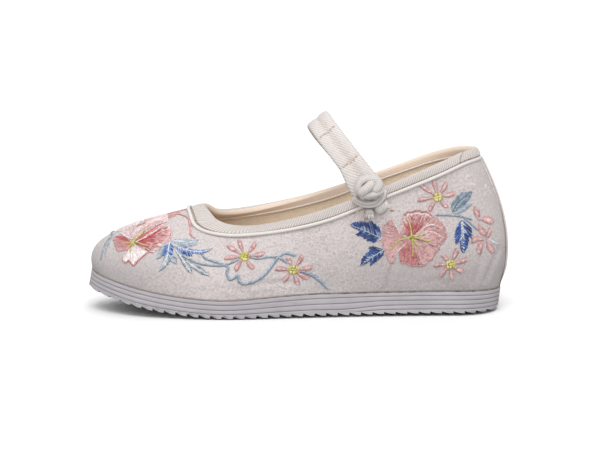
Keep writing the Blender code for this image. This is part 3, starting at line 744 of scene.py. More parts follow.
def makeBinding():
    angles, length = evenAngles(collarAt, binding["columns"] + 1)
    angles = angles[:-1]
    path = np.linspace(0, length, binding["columns"] + 1)[:-1]
    bends = smoothLine(np.array(binding["outside"] + binding["inside"] + binding["edge"]), binding["bendSteps"])
    section = np.concatenate([bends, np.array(binding["under"])])
    reach = lengthAlong(section)
    nOut = binding["tanFrom"]
    nIn = binding["bendSteps"] * (len(binding["outside"]) + len(binding["inside"]))
    turn = np.gradient(section, axis=0)
    facing = unit(np.stack([turn[:, 1], -turn[:, 0]], -1))
    rim = collarAt(angles)
    lapAt = path[np.argmin(np.abs(rim[:, 0] - binding["lapX"]) + 1e3 * (sideOf(angles)[1] > 0))]
    ahead = unit(np.roll(rim, -1, 0) - np.roll(rim, 1, 0))
    crest = reach[np.argmax(section[:, 1] >= 0)]
    plain = binding["throatRibs"]
    points, marks = [], []
    for k, (base, normal, along, up, out) in enumerate(collarSweep(angles, section)):
        # the ribs keep one slant to the tape, however far it hangs
        drop = base - rim
        slid = (drop * ahead).sum(-1)
        level = max(0.0, reach[k] - crest) - np.sqrt(np.clip((drop**2).sum(-1) - slid**2, 0, None))
        rib = np.cos(2 * pi * (path + slid - binding["lean"] * level) / binding["ribPitch"])
        rib = rib * (plain + (1 - plain) * smoothStep(*binding["throat"], rim[:, 0]))
        weight = np.interp(k, *binding["ribRows"]) if k < len(bends) else 0.0
        # the tape's end laps over its start behind the button
        edge = lapAt + binding["lapSlant"] * reach[k] + binding["lapWave"] * math.sin(reach[k])
        lap = np.where(path < edge, np.exp(-(edge - path) / binding["lapFade"]),
                0) * binding["lapHeight"] * (k < nOut)
        push = (binding["ribDepth"] * weight * 0.5 * rib + lap)[:, None]
        away = normal * facing[k][0] + along * facing[k][1]
        points.append(base + normal * out + along * up + away * push)
        # painted shade: darker in the ribs' troughs, on the line where the tape laps over, and along the tape's
        # lowest rows above the piping
        lapLine = (np.abs(path - edge) < binding["lapLine"]) * (k < nOut)
        marks.append(0.5 + 0.5 * rib * weight - binding["lapShade"] * lapLine
                     - binding["edgeShade"] * (k < binding["edgeRows"]))
    flat = flatGrid(np.append(path, length), np.append(reach, reach[-1] + 2))
    slots = [0] * nOut + [1] * (nIn - nOut) + [0] * (len(section) - nIn)
    piece = gridMesh("collar_tape", np.stack(points, 1), True, True, flat, slots, np.stack(marks, 1))
    finishPiece(piece, "collar_binding", (tapeTwill, tanTwill), "collar_binding")


def ropeGrid(route, radius, facing, sides, ribPitch, ribDepth, turns, closed=False):
    # a round cord along a route; its slanting ribs are in the mesh
    step = np.linalg.norm(np.diff(route, axis=0, append=route[:1] if closed else route[-1:]), axis=-1)
    path = np.concatenate([[0], np.cumsum(step)[:-1]])
    ahead = unit((np.roll(route, -1, 0) - np.roll(route, 1, 0)) if closed else np.gradient(route, axis=0))
    normal = unit(facing - (facing * ahead).sum(-1, keepdims=True) * ahead)
    side = np.cross(ahead, normal)
    turn = np.linspace(0, 2 * pi, sides, endpoint=False)
    rib = np.cos(2 * pi * path[:, None] / ribPitch + turns * turn[None, :])
    size = radius + ribDepth * 0.5 * rib
    if not closed:  # rounded ends that close on a point
        size = size * roundedEnd(np.minimum(path, path[-1] - path), radius)[:, None]
    points = route[:, None] + size[..., None] * (normal[:, None] * np.cos(turn)[None, :, None]
                                                 + side[:, None] * np.sin(turn)[None, :, None])
    flat = np.stack(np.broadcast_arrays(np.append(path, path[-1] + step[-1])[:, None] * mm,
                                        np.append(turn, 2 * pi)[None, :] * radius * mm), -1)
    # the mark paints shade into the ribs' troughs, through the twill material
    return points, flat, 0.5 + 0.5 * rib


def cordMesh(name, route, radius, facing, cord, closed=False):
    points, flat, marks = ropeGrid(route, radius, facing, *cord, closed)
    return gridMesh(name, points, closed, True, flat, None, marks)


def evenRoute(points, count):
    # a smooth route through the points, at an even pitch
    line = smoothLine(points, 24)
    length = lengthAlong(line)
    return pointAt(np.linspace(0, length[-1], count), length, line)


piping = {"columns": 900, "radius": 1.05, "cord": (12, 1.3, 0.03, 2.0), "below": 1.1, "gap": 0.7, "stand": 1.1,
          "heelSink": 0.9, "sinkX": (85, 104)}


def makePiping():
    angles, _ = evenAngles(collarAt, piping["columns"] + 1)
    angles = angles[:-1]
    x = collarAt(angles)[:, 0]
    hang = tableValue(binding["depths"], x, 1)
    depth = (piping["gap"] - binding["outside"][1][1]) * hang + piping["below"]
    base, normal, _ = wallFrame(angles, shareBelowCollar(angles, depth))
    route = base + normal * (piping["stand"] - piping["heelSink"] * smoothStep(*piping["sinkX"], x))[:, None]
    piece = cordMesh("piping_cord", route, piping["radius"], normal, piping["cord"], True)
    finishPiece(piece, "collar_piping", (pipingCloth,), "collar_piping")


makeBinding()
makePiping()
print("collar trimmed")

# strap: two rolled twill bands sewn side by side
strap = {"foot": (43.0, 71.5), "top": (10.5, 112.0), "outerY": -32.6, "innerY": 22.9, "fullness": 2.3,
         "start": 0.055, "stop": pi + 0.10, "innerShift": 2.8, "columns": 430, "fineSteps": 4001,
         "bandHalf": 3.7, "bandSteps": 31, "bandEase": 1.35, "roundness": 2.6, "rearward": 1.8, "thick": 1.55,
         "valley": 0.95, "valleyEdge": 8, "backSteps": 19, "backThick": 0.8, "backEdge": 6, "endRound": 1.6,
         "ribPitch": 2.5, "ribLean": 1.6, "ribDepth": 0.15, "ribFade": 0.8,
         "bars": (89.2, 105.4), "barDip": 0.4, "barWidth": 1.1, "flare": 0.5, "flareOver": (2, 22),
         # painted shade in the valley between the bands and along their outer edges
         "valleyShade": (0.25, 0.9), "paintedEdgeShade": (0.5, 0.4, 0.25)}


def strapArch(t):
    middle = (strap["outerY"] + strap["innerY"]) / 2 + last["axisY"]
    half = (strap["innerY"] - strap["outerY"]) / 2
    c, s = np.cos(t), np.sin(t)
    y = middle - half * np.copysign(np.abs(c) ** (2 / strap["fullness"]), c)
    rise = np.copysign(np.abs(s) ** (2 / strap["fullness"]), s)
    (footX, footZ), (topX, topZ) = strap["foot"], strap["top"]
    aside = strap["innerShift"] * smoothStep(pi * 0.4, pi * 0.75, t)  # the inner half hangs a little further forward
    lean = math.hypot(topX - footX, topZ - footZ)
    return np.stack([footX + (topX - footX) * rise - aside * (topZ - footZ) / lean, y,
                     footZ + (topZ - footZ) * rise - aside * (footX - topX) / lean], -1)


def strapPath(count):
    fine = np.linspace(strap["start"], strap["stop"], strap["fineSteps"])
    length = lengthAlong(strapArch(fine))
    t = np.interp(np.linspace(0, length[-1], count), length, fine)
    ahead = unit(strapArch(t + 0.01) - strapArch(t - 0.01))
    across = unit(np.array([strap["top"][1] - strap["foot"][1], 0, strap["foot"][0] - strap["top"][0]]))
    out = unit(np.cross(ahead, across)) * -1
    return strapArch(t), out, across, np.linspace(0, length[-1], count)


def bandHeight(a):
    # height of one rolled band above the strap's middle plane
    w = strap["bandHalf"]
    return strap["thick"] * np.clip(1 - np.abs((np.abs(a) - w) / w) ** strap["roundness"], 0, None) ** 0.5


def makeStrap():
    centre, out, across, path = strapPath(strap["columns"])
    w = strap["bandHalf"]
    ease = np.sin(np.linspace(-1, 1, strap["bandSteps"]) * strap["bandEase"]) / math.sin(strap["bandEase"])
    front = np.concatenate([w * ease - w, (w * ease + w)[1:]])
    height = strap["valley"] * (1 - (np.abs(front) / (2 * w)) ** strap["valleyEdge"])
    height = np.maximum(bandHeight(front), height)
    back = np.linspace(2 * w, -2 * w, strap["backSteps"])[1:-1]
    a = np.concatenate([front, back])
    backHeight = (1 - np.abs(back / (2 * w)) ** strap["backEdge"]) ** 0.5
    h = np.concatenate([height, -strap["thick"] * strap["backThick"] * backHeight])
    rib = np.cos(2 * pi * (path[:, None] + strap["ribLean"] * a[None, :]) / strap["ribPitch"])
    dip = np.zeros(len(path))
    barAt = []
    for z in strap["bars"]:  # the stitched bars pull the bands in
        at = path[np.argmin(np.abs(centre[:, 2] - z) + 1e3 * (centre[:, 1] > -10))]
        barAt.append(at)
        dip += strap["barDip"] * np.exp(-(((path - at) / strap["barWidth"]) ** 2))
    closeEnds = roundedEnd(np.minimum(path, path[-1] - path), strap["endRound"])
    ribbed = np.clip(np.clip(h, 0, None) / strap["ribFade"], 0, 1)[None, :] * strap["ribDepth"] * 0.5 * rib
    size = np.where(h > 0, np.clip(h[None, :] - dip[:, None], 0.05, None), h[None, :])
    size = (size + ribbed) * closeEnds[:, None]
    flare = strap["flare"] * (1 - smoothStep(*strap["flareOver"], path))[:, None]
    wide = 1 + flare * (a < 0)[None, :]  # the front band widens at its foot
    points = centre[:, None] + across * (a * wide + strap["rearward"])[..., None] + out[:, None] * size[..., None]
    reach = np.concatenate([[0], np.cumsum(np.hypot(np.diff(a), np.diff(h)))])
    flat = flatGrid(path, np.append(reach, reach[-1] + 0.3))
    dark, wideness = strap["valleyShade"]
    edgeShade, edgeIn, edgeWide = strap["paintedEdgeShade"]
    # painted shade: darker in the ribs' troughs, in the valley between the bands and along their outer edges
    marks = 0.5 + 0.5 * rib
    marks = marks - dark * np.exp(-((a / wideness) ** 2))[None, :]
    marks = marks - edgeShade * np.exp(-(((np.abs(a) - 2 * w + edgeIn) / edgeWide) ** 2))[None, :]
    piece = gridMesh("strap_bands", points, False, True, flat, None, marks)
    finishPiece(piece, "strap", (strapTwill,), "strap")
    return centre, out, across, path, barAt


strapTwill = twillMaterial("strap_twill", *clothColours["strap"])
strapLine = makeStrap()
print("strap made")

# the loop round the button, the button's woven cord and its two ends; routes as in the solids
knot = {
    "centre": (40.68, -37.2, 77.1),
    # inside, a cord woven round a ball; cords are given as sides, pitch, depth and turns of their ribs
    "ring": 4.3, "strand": 2.1, "leads": 3, "bights": 4, "weave": 0.7, "axis": (-0.25, -0.9, 0.35), "spin": 0.5,
    "squash": 0.88, "latitude": 0.95, "weaveSteps": 520, "weaveCord": (30, 3.2, 0.12, 7.0), "core": 0.9,
    # the strands in front, as pixels from the ball's middle, with how far each passes over or under
    "pixel": 0.575, "halves": (10.8, 8.9, 5.9), "backShare": 0.6, "strandSteps": 70,
    "strandCord": (52, 2.5, 0.15, 12.0), "strands": (
        (1.85, ((-11.2, 7, -1.6), (-11.2, 1.4, -0.2), (-8.8, -4.4, 0.2), (-3.6, -7.8, 0.2), (2, -8.8, 0.0),
                (5, -7.4, -1.2))),
        (2.6, ((0.4, -7.2, -1.6), (4, -7.6, 0.0), (7.6, -6.2, 0.3), (9.2, -2.4, 0.4), (8.4, 0.8, 0.3),
               (5.6, 2.6, -0.5), (2.8, 2.4, -1.8))),
        (2.6, ((3.8, -4.6, -1.8), (1.6, -2.4, 0.1), (-2.6, 1.4, 0.8), (-6.4, 4.6, 0.5), (-9, 7, -1.0))),
        (1.8, ((11.8, 1.2, -1.5), (11, 4.4, -0.2), (7, 6.6, 0.3), (1.5, 7.8, 0.2), (-4.5, 8.6, -0.4),
               (-8.4, 10, -1.6)))),
    # a cord round the ball's waist
    "belt": (5.3, 1.0, 5.0), "beltBack": 0.6, "beltThick": 2.3, "beltSteps": 160, "beltCord": (40, 2.6, 0.12, 10.0),
    # the loop has lengthwise folds, the cord's ends have laid yarns
    "loop": ((32.61, -30.94, 71.2), (33.42, -30.85, 69.23), (36.5, -31.16, 67.14), (40.96, -31.17, 66.27),
             (45.37, -30.88, 67.22), (48.77, -30.3, 70.77), (49.77, -29.8, 75.2)),
    "legLower": ((41.7, -29.43, 63.6), (41.4, -29.7, 61.8), (41.1, -30.0, 59.6)),
    "legRear": ((44.6, -29.5, 61.8), (47.6, -29.1, 63.7), (51.0, -28.5, 66.5)),
    "folds": (40, 34.0, 0.3, 5.0), "yarns": (40, 2.5, 0.15, 10.0), "outwards": (0.05, -1.0, 0.15),
    # piece, route, node, steps and radius
    "cords": (("button_loop", "loop", "strap_loop", 160, 2.05),
              ("button_end_lower", "legLower", "knot_leg_lower", 50, 2.8),
              ("button_end_rear", "legRear", "knot_leg_rear", 70, 2.9)),
}


def joinPieces(name, pieces):
    # several parts of one thing become one mesh
    with bpy.context.temp_override(active_object=pieces[0], selected_editable_objects=pieces):
        bpy.ops.object.join()
    pieces[0].name = pieces[0].data.name = name
    return pieces[0]


def makeKnot():
    centre = np.array(knot["centre"])
    axis = unit(np.array(knot["axis"], float))
    first = unit(np.cross(axis, np.array([0.0, 0.0, 1.0])))
    second = np.cross(axis, first)
    t = np.linspace(0, 2 * pi, knot["weaveSteps"], endpoint=False)
    lat = knot["latitude"] * np.cos(knot["bights"] * t)
    lon = knot["leads"] * t + knot["spin"]
    ray = ((np.cos(lat) * np.cos(lon))[:, None] * first + (np.cos(lat) * np.sin(lon))[:, None] * second
           + np.sin(lat)[:, None] * axis)
    radius = knot["ring"] + knot["weave"] * np.sin(2 * knot["bights"] * t)
    points, flat, marks = ropeGrid(ray * radius[:, None], knot["strand"], ray, *knot["weaveCord"], True)
    points[..., 2] *= knot["squash"]
    parts = [gridMesh("weave", points + centre, True, True, flat, None, marks)]
    tilt = math.radians(photo["elevation"])
    halfX, halfZ, halfY = knot["halves"]
    for turned in (1, -1):  # the same strands close the ball behind
        right = np.array([turned, 0.0, 0.0])
        up = np.array([0, math.sin(tilt), math.cos(tilt)])
        front = np.array([0, -math.cos(tilt), math.sin(tilt)]) * turned
        deep = halfY * (1.0 if turned > 0 else knot["backShare"])
        for thick, spots in knot["strands"]:
            spots = np.array(spots, float)
            u, v = spots[:, 0] * knot["pixel"], -spots[:, 1] * knot["pixel"]
            w = deep * np.sqrt(np.clip(1 - (u / halfX) ** 2 - (v / halfZ) ** 2, 0.0, 1)) + spots[:, 2]
            route = evenRoute(right * u[:, None] + up * v[:, None] + front * w[:, None], knot["strandSteps"])
            parts.append(cordMesh("strand", route + centre, thick, unit(route + front * 2), knot["strandCord"]))
    ring = np.linspace(0, 2 * pi, knot["beltSteps"], endpoint=False)
    ray = np.stack([np.cos(ring), np.zeros_like(ring), np.sin(ring)], 1)
    belt = ray * knot["belt"] + (0, knot["beltBack"], 0) + centre
    parts.append(cordMesh("belt", belt, knot["beltThick"], ray, knot["beltCord"], True))
    finishPiece(joinPieces("button_knot", parts), "knot_button", (cordTwill,), "knot_button")
    bm = bmesh.new()
    bmesh.ops.create_uvsphere(bm, u_segments=32, v_segments=20, radius=knot["ring"] * knot["core"] * mm)
    bmesh.ops.translate(bm, verts=bm.verts, vec=Vector(knot["centre"]) * mm)
    for face in bm.faces:
        face.smooth = True
    finishPiece(meshObject("button_core", bm), "knot_button", (coreTwill,))
    for name, key, slot, count, thick in knot["cords"]:
        route = evenRoute(knot[key], count)
        outwards = np.broadcast_to(np.array(knot["outwards"]), route.shape)
        piece = cordMesh(name, route, thick, outwards, knot["folds" if key == "loop" else "yarns"])
        finishPiece(piece, slot, (cordTwill,), slot)


cordTwill = twillMaterial("cord_braid", *clothColours["cord"])
coreTwill = twillMaterial("core_twill", *clothColours["tape"], uv=False)
makeKnot()
print("button knotted")

# heel seam: a folded ridge with its brown stitch line, and painted shade along its edges
heelSeam = {"halfWidth": 1.75, "height": 1.35, "rows": 80, "columns": 17, "topDepth": 5.6, "firstShare": 0.012,
            "tuck": 1.0, "roundness": 2.6, "groove": (0.45, 0.12), "footShare": 0.15, "footOver": (0.0, 0.16),
            "pucker": 0.04, "puckerPitch": 300, "stand": 0.3, "underStand": 0.25,
            "stitchLine": 0.16, "paintedEdgeShade": (0.9, 0.12)}


def makeHeelSeam():
    topShare = shareBelowCollar(np.array([pi]), heelSeam["topDepth"])[0]
    shares = np.linspace(heelSeam["firstShare"], topShare, heelSeam["rows"])
    base, normal, _ = wallFrame(np.full(len(shares), pi), shares)
    base[0] -= np.array([0.0, 0.0, heelSeam["tuck"]])  # its foot is tucked behind the sole
    a = np.linspace(-1, 1, heelSeam["columns"])
    deep, narrow = heelSeam["groove"]
    h = np.sqrt(np.clip(1 - np.abs(a) ** heelSeam["roundness"], 0, 1)) * heelSeam["height"]
    h = h - deep * np.exp(-((a / narrow) ** 2))
    foot = heelSeam["footShare"]
    h = h * (foot + (1 - foot) * smoothStep(*heelSeam["footOver"], shares))[:, None]
    h = h + heelSeam["pucker"] * np.cos(shares[:, None] * heelSeam["puckerPitch"]) * np.cos(a * pi / 2)[None, :]
    side = np.array([0.0, 1.0, 0.0]) * heelSeam["halfWidth"]
    raised = (heelSeam["stand"] + np.clip(h, 0, None))[..., None]
    top = base[:, None] + side * a[None, :, None] + normal[:, None] * raised
    under = base[:, None] + side * a[::-1][1:-1][None, :, None] + normal[:, None] * heelSeam["underStand"]
    points = np.concatenate([top, under], 1)
    first, final = (points[k : k + 1].mean(1, keepdims=True).repeat(points.shape[1], 1) for k in (0, len(points) - 1))
    points = np.concatenate([first, points, final], 0)
    # painted shade where the ridge's edges meet the cloth
    dark, wide = heelSeam["paintedEdgeShade"]
    marks = np.zeros(points.shape[:2])
    marks[:, : len(a)] = (1 - np.exp(-((a / heelSeam["stitchLine"]) ** 2))
                          - dark * np.exp(-(((np.abs(a) - 1) / wide) ** 2)))
    flat = points[..., [1, 2]] * mm
    flat = np.concatenate([flat, flat[:, :1]], 1)
    piece = gridMesh("heel_ridge", points, False, True, flat, None, marks)
    finishPiece(piece, "heel_seam", (seamCloth,), "heel_seam")


seamCloth = twillMaterial("heel_cloth", srgb(214, 204, 202), srgb(160, 140, 126))
makeHeelSeam()

# sole: layered foam with its grooves and saw teeth
sole = {
    "grooveRows": ((0.62, 0.0), (0.42, 0.03), (0.22, 0.2), (0.0, 0.5), (-0.22, 0.2), (-0.42, 0.03), (-0.62, 0.0)),
    "edge": 0.5, "edgeDrop": 0.15, "edgeIn": 0.12, "belly": 0.05, "leastShare": 0.05, "lowRow": 1.4, "across": 13,
    "heelDraft": 1.5, "heelOut": 0.6, "heelOutFrom": 90, "sharpAngle": 50,
    "toothStep": 1.45, "toothGap": 0.02, "toothShare": (0.45, 0.35), "toothOver": (-115, -60),
    "rimLift": ((-125, 0.2), (-90, 0.0), (-50, 0.3), (-20, 0.9), (20, 1.6), (80, 1.8), (125, 1.3)),
    # a mark of 2 paints rows under the rim near black, as the shadow under the sole
    "rim": ((1.0, 0.12, 0.0), (1.0, 0.7, 2.0), (0.9, 3.5, 2.0), (0.0, 6.0, 2.0)),  # share of the lift, inset, mark
}


def toothHeight(x):
    pitch, land = soleSizes["toothPitch"], soleSizes["toothLand"]
    t = np.mod(x - soleSizes["toothStart"], pitch)
    low, more = sole["toothShare"]
    depth = soleSizes["toothDepth"] * (low + more * smoothStep(*sole["toothOver"], x))
    return depth * np.clip(1 - t / (pitch - land), 0, 1)


def makeSole():
    toe, heel = last["toeX"], last["heelX"]
    pitch, land, gap = soleSizes["toothPitch"], soleSizes["toothLand"], sole["toothGap"]
    xs = [toe, heel]  # places along the sole, close together at each tooth's step
    x0 = soleSizes["toothStart"]
    while x0 < heel:
        xs += [x0 + at + (gap if at == 0 else 0) for at in np.arange(0, pitch - 0.5, sole["toothStep"])]
        xs += [x0 + pitch - land, x0 + pitch - gap]
        x0 += pitch
    ends = [toe + (heel - toe) / 2 * (1 - math.cos(q)) for q in np.arange(0.02, 0.3, 0.035)]
    xs += ends + [toe + heel - x for x in ends]
    xs = np.array(sorted(set(round(x, 3) for x in xs if toe <= x <= heel)))
    angles = np.arccos(np.clip(((toe + heel) / 2 - xs) / ((heel - toe) / 2), -1, 1))
    tooth = toothHeight(xs)
    layers = soleSizes["layers"]
    top = tableValue(layers, xs, 1)
    fade = smoothStep(soleSizes["heelLayerFrom"], soleSizes["heelLayerFull"], xs)
    # rows from the top edge down the side and under the rim: height, inset and mark, which paints shade in the
    # grooves and the shadow under the rim
    rows = [(top, sole["edge"], 0.0), (top - sole["edgeDrop"], sole["edgeIn"], 0.0), (top - sole["edge"], 0.0, 0.0)]
    for column in (2, 3, 4, 5):
        share = fade if column == 5 else np.ones_like(xs)  # the lowest groove is on the heel alone
        level = tableValue(layers, xs, column)
        if column > 2:
            above = tableValue(layers, xs, column - 1)
            rows.append(((level + above) / 2, -sole["belly"] * share, 0.0))
        for rise, inset in sole["grooveRows"]:
            rows.append((level + rise * np.maximum(share, sole["leastShare"]), inset * share, inset * share))
    low = rows[-1][0]
    rows.append((np.maximum(tooth + sole["lowRow"], (low + tooth) / 2), 0.0, 0.0))
    lift = tableValue(sole["rimLift"], xs, 1)
    rows += [(tooth + lift * share, inset, mark) for share, inset, mark in sole["rim"]]
    draft = soleSizes["sideDraft"] + (sole["heelDraft"] - soleSizes["sideDraft"]) * smoothStep(
        heel - last["heelReach"], heel, xs)
    outwards = sole["heelOut"] * smoothStep(sole["heelOutFrom"], heel, xs)
    sides, darkening = [], []
    for around in (angles, 2 * pi - angles):
        grid, mark = [], []
        for height, inset, groove in rows:
            height = np.maximum(height, tooth)
            inwards = inset + draft * (1 - height / top) - outwards
            grid.append(lifted(outlineAt(around) - outwardAt(around) * inwards[:, None], height))
            mark.append(np.broadcast_to(groove, xs.shape))
        sides.append(np.stack(grid, 1))
        darkening.append(np.stack(mark, 1))
    outer, inner = sides
    t = np.linspace(0, 1, sole["across"] + 2)[1:-1][None, :, None]
    bottom = outer[:, -1:] * (1 - t) + inner[:, -1:] * t
    lid = inner[:, :1] * (1 - t) + outer[:, :1] * t
    points = np.concatenate([outer, bottom, inner[:, ::-1], lid], 1)
    zero = np.zeros(lid.shape[:2])
    # the underside is painted near black, as the shadow under the sole
    marks = np.concatenate([darkening[0], zero + 2, darkening[1][:, ::-1], zero], 1)
    piece = gridMesh("foam_sole", points, False, True, None, None, marks)
    piece.data.set_sharp_from_angle(angle=math.radians(sole["sharpAngle"]))
    finishPiece(piece, "outsole", (foamMaterial(),), "outsole")


# the groove colour is painted shade in the grooves, and the near black one is the painted shadow under the sole
foam = {"dark": srgb(169, 165, 170), "light": srgb(187, 183, 187), "groove": srgb(124, 115, 117),
        "tread": srgb(44, 40, 40), "darkening": srgb(120, 102, 92), "cloudScale": 60.0, "streaks": (60.0, 60.0, 700.0),
        "poreScale": 2400.0, "dirtScale": 210.0, "bump": 0.25, "bumpDepth": 0.0002}


def foamMaterial():
    material, tree, shader = startMaterial("sole_foam", 0.6)
    shader.inputs["Specular IOR Level"].default_value = 0.35
    vector = coordinate(tree, False)
    cloud = noise(tree, vector, foam["cloudScale"], 4.0, None, 0.6)
    streak = noise(tree, vector, 1.0, 3.0, foam["streaks"])
    pores = noise(tree, vector, foam["poreScale"])
    mark = markValue(tree)
    shade = remap(tree, add(tree, cloud, times(tree, streak, 0.6)), 0.55, 1.05, 0.0, 1.0)
    colour = mixColour(tree, shade, foam["dark"], foam["light"])
    # painted shade in the grooves, and a painted near-black shadow on the underside and under the rim
    colour = mixColour(tree, remap(tree, mark, 0.05, 0.5, 0.0, 0.7), colour, foam["groove"])
    colour = mixColour(tree, remap(tree, mark, 0.9, 1.9, 0.0, 1.0), colour, foam["tread"])
    # spots of dirt
    spots = noise(tree, vector, foam["dirtScale"])
    colour = mixColour(tree, remap(tree, spots, 0.72, 0.80, 0.0, 0.55), colour, foam["darkening"])
    tree.links.new(colour, shader.inputs["Base Color"])
    tree.links.new(remap(tree, cloud, 0.3, 0.7, 0.52, 0.72), shader.inputs["Roughness"])
    bumpTo(tree, shader, add(tree, times(tree, pores, 0.6), cloud), foam["bump"], foam["bumpDepth"])
    return material


makeSole()
print("sole made")

# footbed
footbed = {"columns": 120, "across": 17, "dish": 1.6, "dishPower": 1.2, "clearance": 0.2, "above": 0.3,
           "wallShare": 0.75, "wallSteps": 90, "sideRows": (0.0, 0.5, 0.88), "rim": ((0.35, -0.1), (1.4, 0.1)),
           "thickness": ((-124, 3.0), (-45, 3.6), (10, 8.0), (65, 18.5), (119.6, 22.0))}


def makeFootbed():
    angles = np.linspace(0, pi, footbed["columns"])
    shares = np.linspace(0, footbed["wallShare"], footbed["wallSteps"])

    def rim(around, rise):
        # a line round the inside of the wall, at a share of the footbed's thickness
        foot = featherAt(around)
        height = foot[:, 2] + footbed["above"] + tableValue(footbed["thickness"], foot[:, 0], 1) * rise
        line = wallAt(around[:, None], shares[None, :])
        s = np.array([np.interp(z, row[:, 2], shares) for z, row in zip(height, line)])
        base, normal, _ = wallFrame(around, s)
        level = unit(normal * np.array([1.0, 1.0, 0.0]))
        inside = base - level * (wallSizes["thickness"] + footbed["clearance"])
        inside[:, 2] = height
        return inside, level

    sides = []
    for around in (angles, 2 * pi - angles):
        rows = [rim(around, rise)[0] for rise in footbed["sideRows"]]
        high, level = rim(around, 1.0)
        rows += [high - level * inwards + np.array([0, 0, up]) for inwards, up in footbed["rim"]]
        sides.append(np.stack(rows, 1))
    outer, inner = sides
    t = np.linspace(0, 1, footbed["across"] + 2)[1:-1][None, :, None]
    crown = outer[:, -1:] * (1 - t) + inner[:, -1:] * t
    crown[..., 2] -= footbed["dish"] * np.sin(pi * t[..., 0]) ** footbed["dishPower"]
    floor = inner[:, :1] * (1 - t) + outer[:, :1] * t
    points = np.concatenate([outer, crown, inner[:, ::-1], floor], 1)
    flat = np.concatenate([points, points[:, :1]], 1)[..., :2] * mm
    piece = gridMesh("footbed", points, False, True, flat)
    finishPiece(piece, "insole", (footbedCloth,), "insole")


footbedCloth = wovenMaterial("footbed_cloth", srgb(214, 188, 156), srgb(180, 150, 118), 1150.0, 0.6, 0.6)
makeFootbed()

# glue and soil in the joint between cloth and sole
joint = {"columns": 900, "sides": 8, "radius": 0.42, "stand": 0.1, "sink": 0.1, "sizes": (0.55, 0.5, 0.35, 1.3),
         "soilOver": (-40, 30), "leastSoil": 0.2, "spotScale": 420.0,
         "clean": srgb(150, 138, 132), "soiled": srgb(74, 56, 44)}


def makeJoint():
    angles, length = evenAngles(featherAt, joint["columns"] + 1)
    angles = angles[:-1]
    outward = outwardAt(angles)
    route = featherAt(angles) + outward * joint["stand"] - np.array([0, 0, joint["sink"]])
    path = np.linspace(0, length, joint["columns"] + 1)[:-1]
    # uneven beads of glue
    swell = 0.5 + 0.3 * np.sin(path / 3.1) * np.sin(path / 7.7 + 1)
    swell = swell + 0.35 * np.sin(path / 1.3 + 2 * np.sin(path / 11))
    base, more, least, most = joint["sizes"]
    size = np.clip(base + more * swell, least, most)
    points, flat, _ = ropeGrid(route, joint["radius"], outward, joint["sides"], 5.0, 0.0, 0.0, True)
    points = route[:, None] + (points - route[:, None]) * size[:, None, None]
    soiled = np.clip(swell, 0, 1) * smoothStep(*joint["soilOver"], route[:, 0])
    marks = np.clip(joint["leastSoil"] + (1 - joint["leastSoil"]) * soiled, 0, 1)
    piece = gridMesh("joint_glue", points, True, True, flat, None, np.broadcast_to(marks[:, None], points.shape[:2]))
    material, tree, shader = startMaterial("joint_soil", 0.7)
    spots = noise(tree, coordinate(tree, False), joint["spotScale"], 3.0)
    factor = times(tree, markValue(tree), remap(tree, spots, 0.35, 0.6, 0.2, 1.0))
    tree.links.new(mixColour(tree, factor, joint["clean"], joint["soiled"]), shader.inputs["Base Color"])
    finishPiece(piece, "outsole", (material,))


makeJoint()
print("joint made")


# embroidery: every stitch is a short thread laid on the cloth
threadTones = {
    "deepRed": (164, 58, 66), "red": (184, 88, 94), "rose": (198, 132, 131), "pink": (200, 151, 150),
    "dusty": (197, 150, 149), "palePink": (214, 179, 178), "blush": (234, 214, 212), "white": (240, 234, 232),
    "yellow": (206, 194, 112), "paleYellow": (230, 222, 164), "olive": (160, 148, 72), "royal": (52, 77, 136),
    "navy": (40, 52, 92), "blue": (76, 112, 186), "sky": (140, 166, 206), "steel": (114, 131, 147),
    "greyBlue": (150, 163, 175), "paleBlue": (189, 199, 208), "tan": (192, 150, 102), "paleTan": (206, 176, 148),
    "clothLight": (230, 222, 220), "clothShade": (212, 204, 202),
}
# the first tone of each is the darker side that a shaded satin line paints as shade
stemTones, stamenTones = ("steel", "greyBlue", "paleBlue"), ("olive", "paleYellow", "yellow", "paleYellow")
dice = np.random.default_rng(11)
threads = {}


def tone(name):
    return srgb(*threadTones[name])


def anyTone(names):
    return tone(names[dice.integers(len(names))])


stitchShade = {"rareDark": 0.14, "dark": (0.58, 0.75), "usual": (0.8, 1.18), "even": (0.96, 0.08)}


def stitch(motif, start, end, colour, endColour=None, width=0.46, lift=0.35, even=False):
    # one stitch, in millimetres of its surface; now and then a thread lies in shade
    usual = dice.random() > stitchShade["rareDark"]
    shade = dice.uniform(*stitchShade["usual" if usual else "dark"])
    if even:
        least, spread = stitchShade["even"]
        shade = least + spread * dice.random()
    endColour = colour if endColour is None else endColour
    threads.setdefault(motif, []).append((start, end, colour * shade, endColour * shade, width, lift))


def walkLine(line, pitch):
    # places, directions and shares at an even pitch along a smooth line
    length = lengthAlong(line)
    count = max(3, int(length[-1] / pitch))
    for k in range(count):
        share = (k + 0.5) / count
        before, here, there = (pointAt(share * length[-1] + near, length, line) for near in (-0.2, 0.0, 0.2))
        yield here, (there - before) / max(np.hypot(*(there - before)), 1e-9), share


def satinLine(motif, line, widths, colours, pitch=0.46, slant=0.7, lift=0.4, width=0.52, shaded=False):
    # short slanting stitches side by side across a line
    for here, ahead, share in walkLine(smoothLine(line), pitch):
        side = np.array([-ahead[1], ahead[0]])
        half = np.interp(share, np.linspace(0, 1, len(widths)), widths) / 2 * dice.uniform(0.92, 1.08)
        reach = side * half + ahead * half * slant
        a, b = anyTone(colours), anyTone(colours)
        # painted shade: one side takes the first, darker tone
        if shaded:  # one side darker than the other
            a, b = tone(colours[0]), anyTone(colours[1:])
        stitch(motif, here - reach, here + reach, a, b, width, lift)


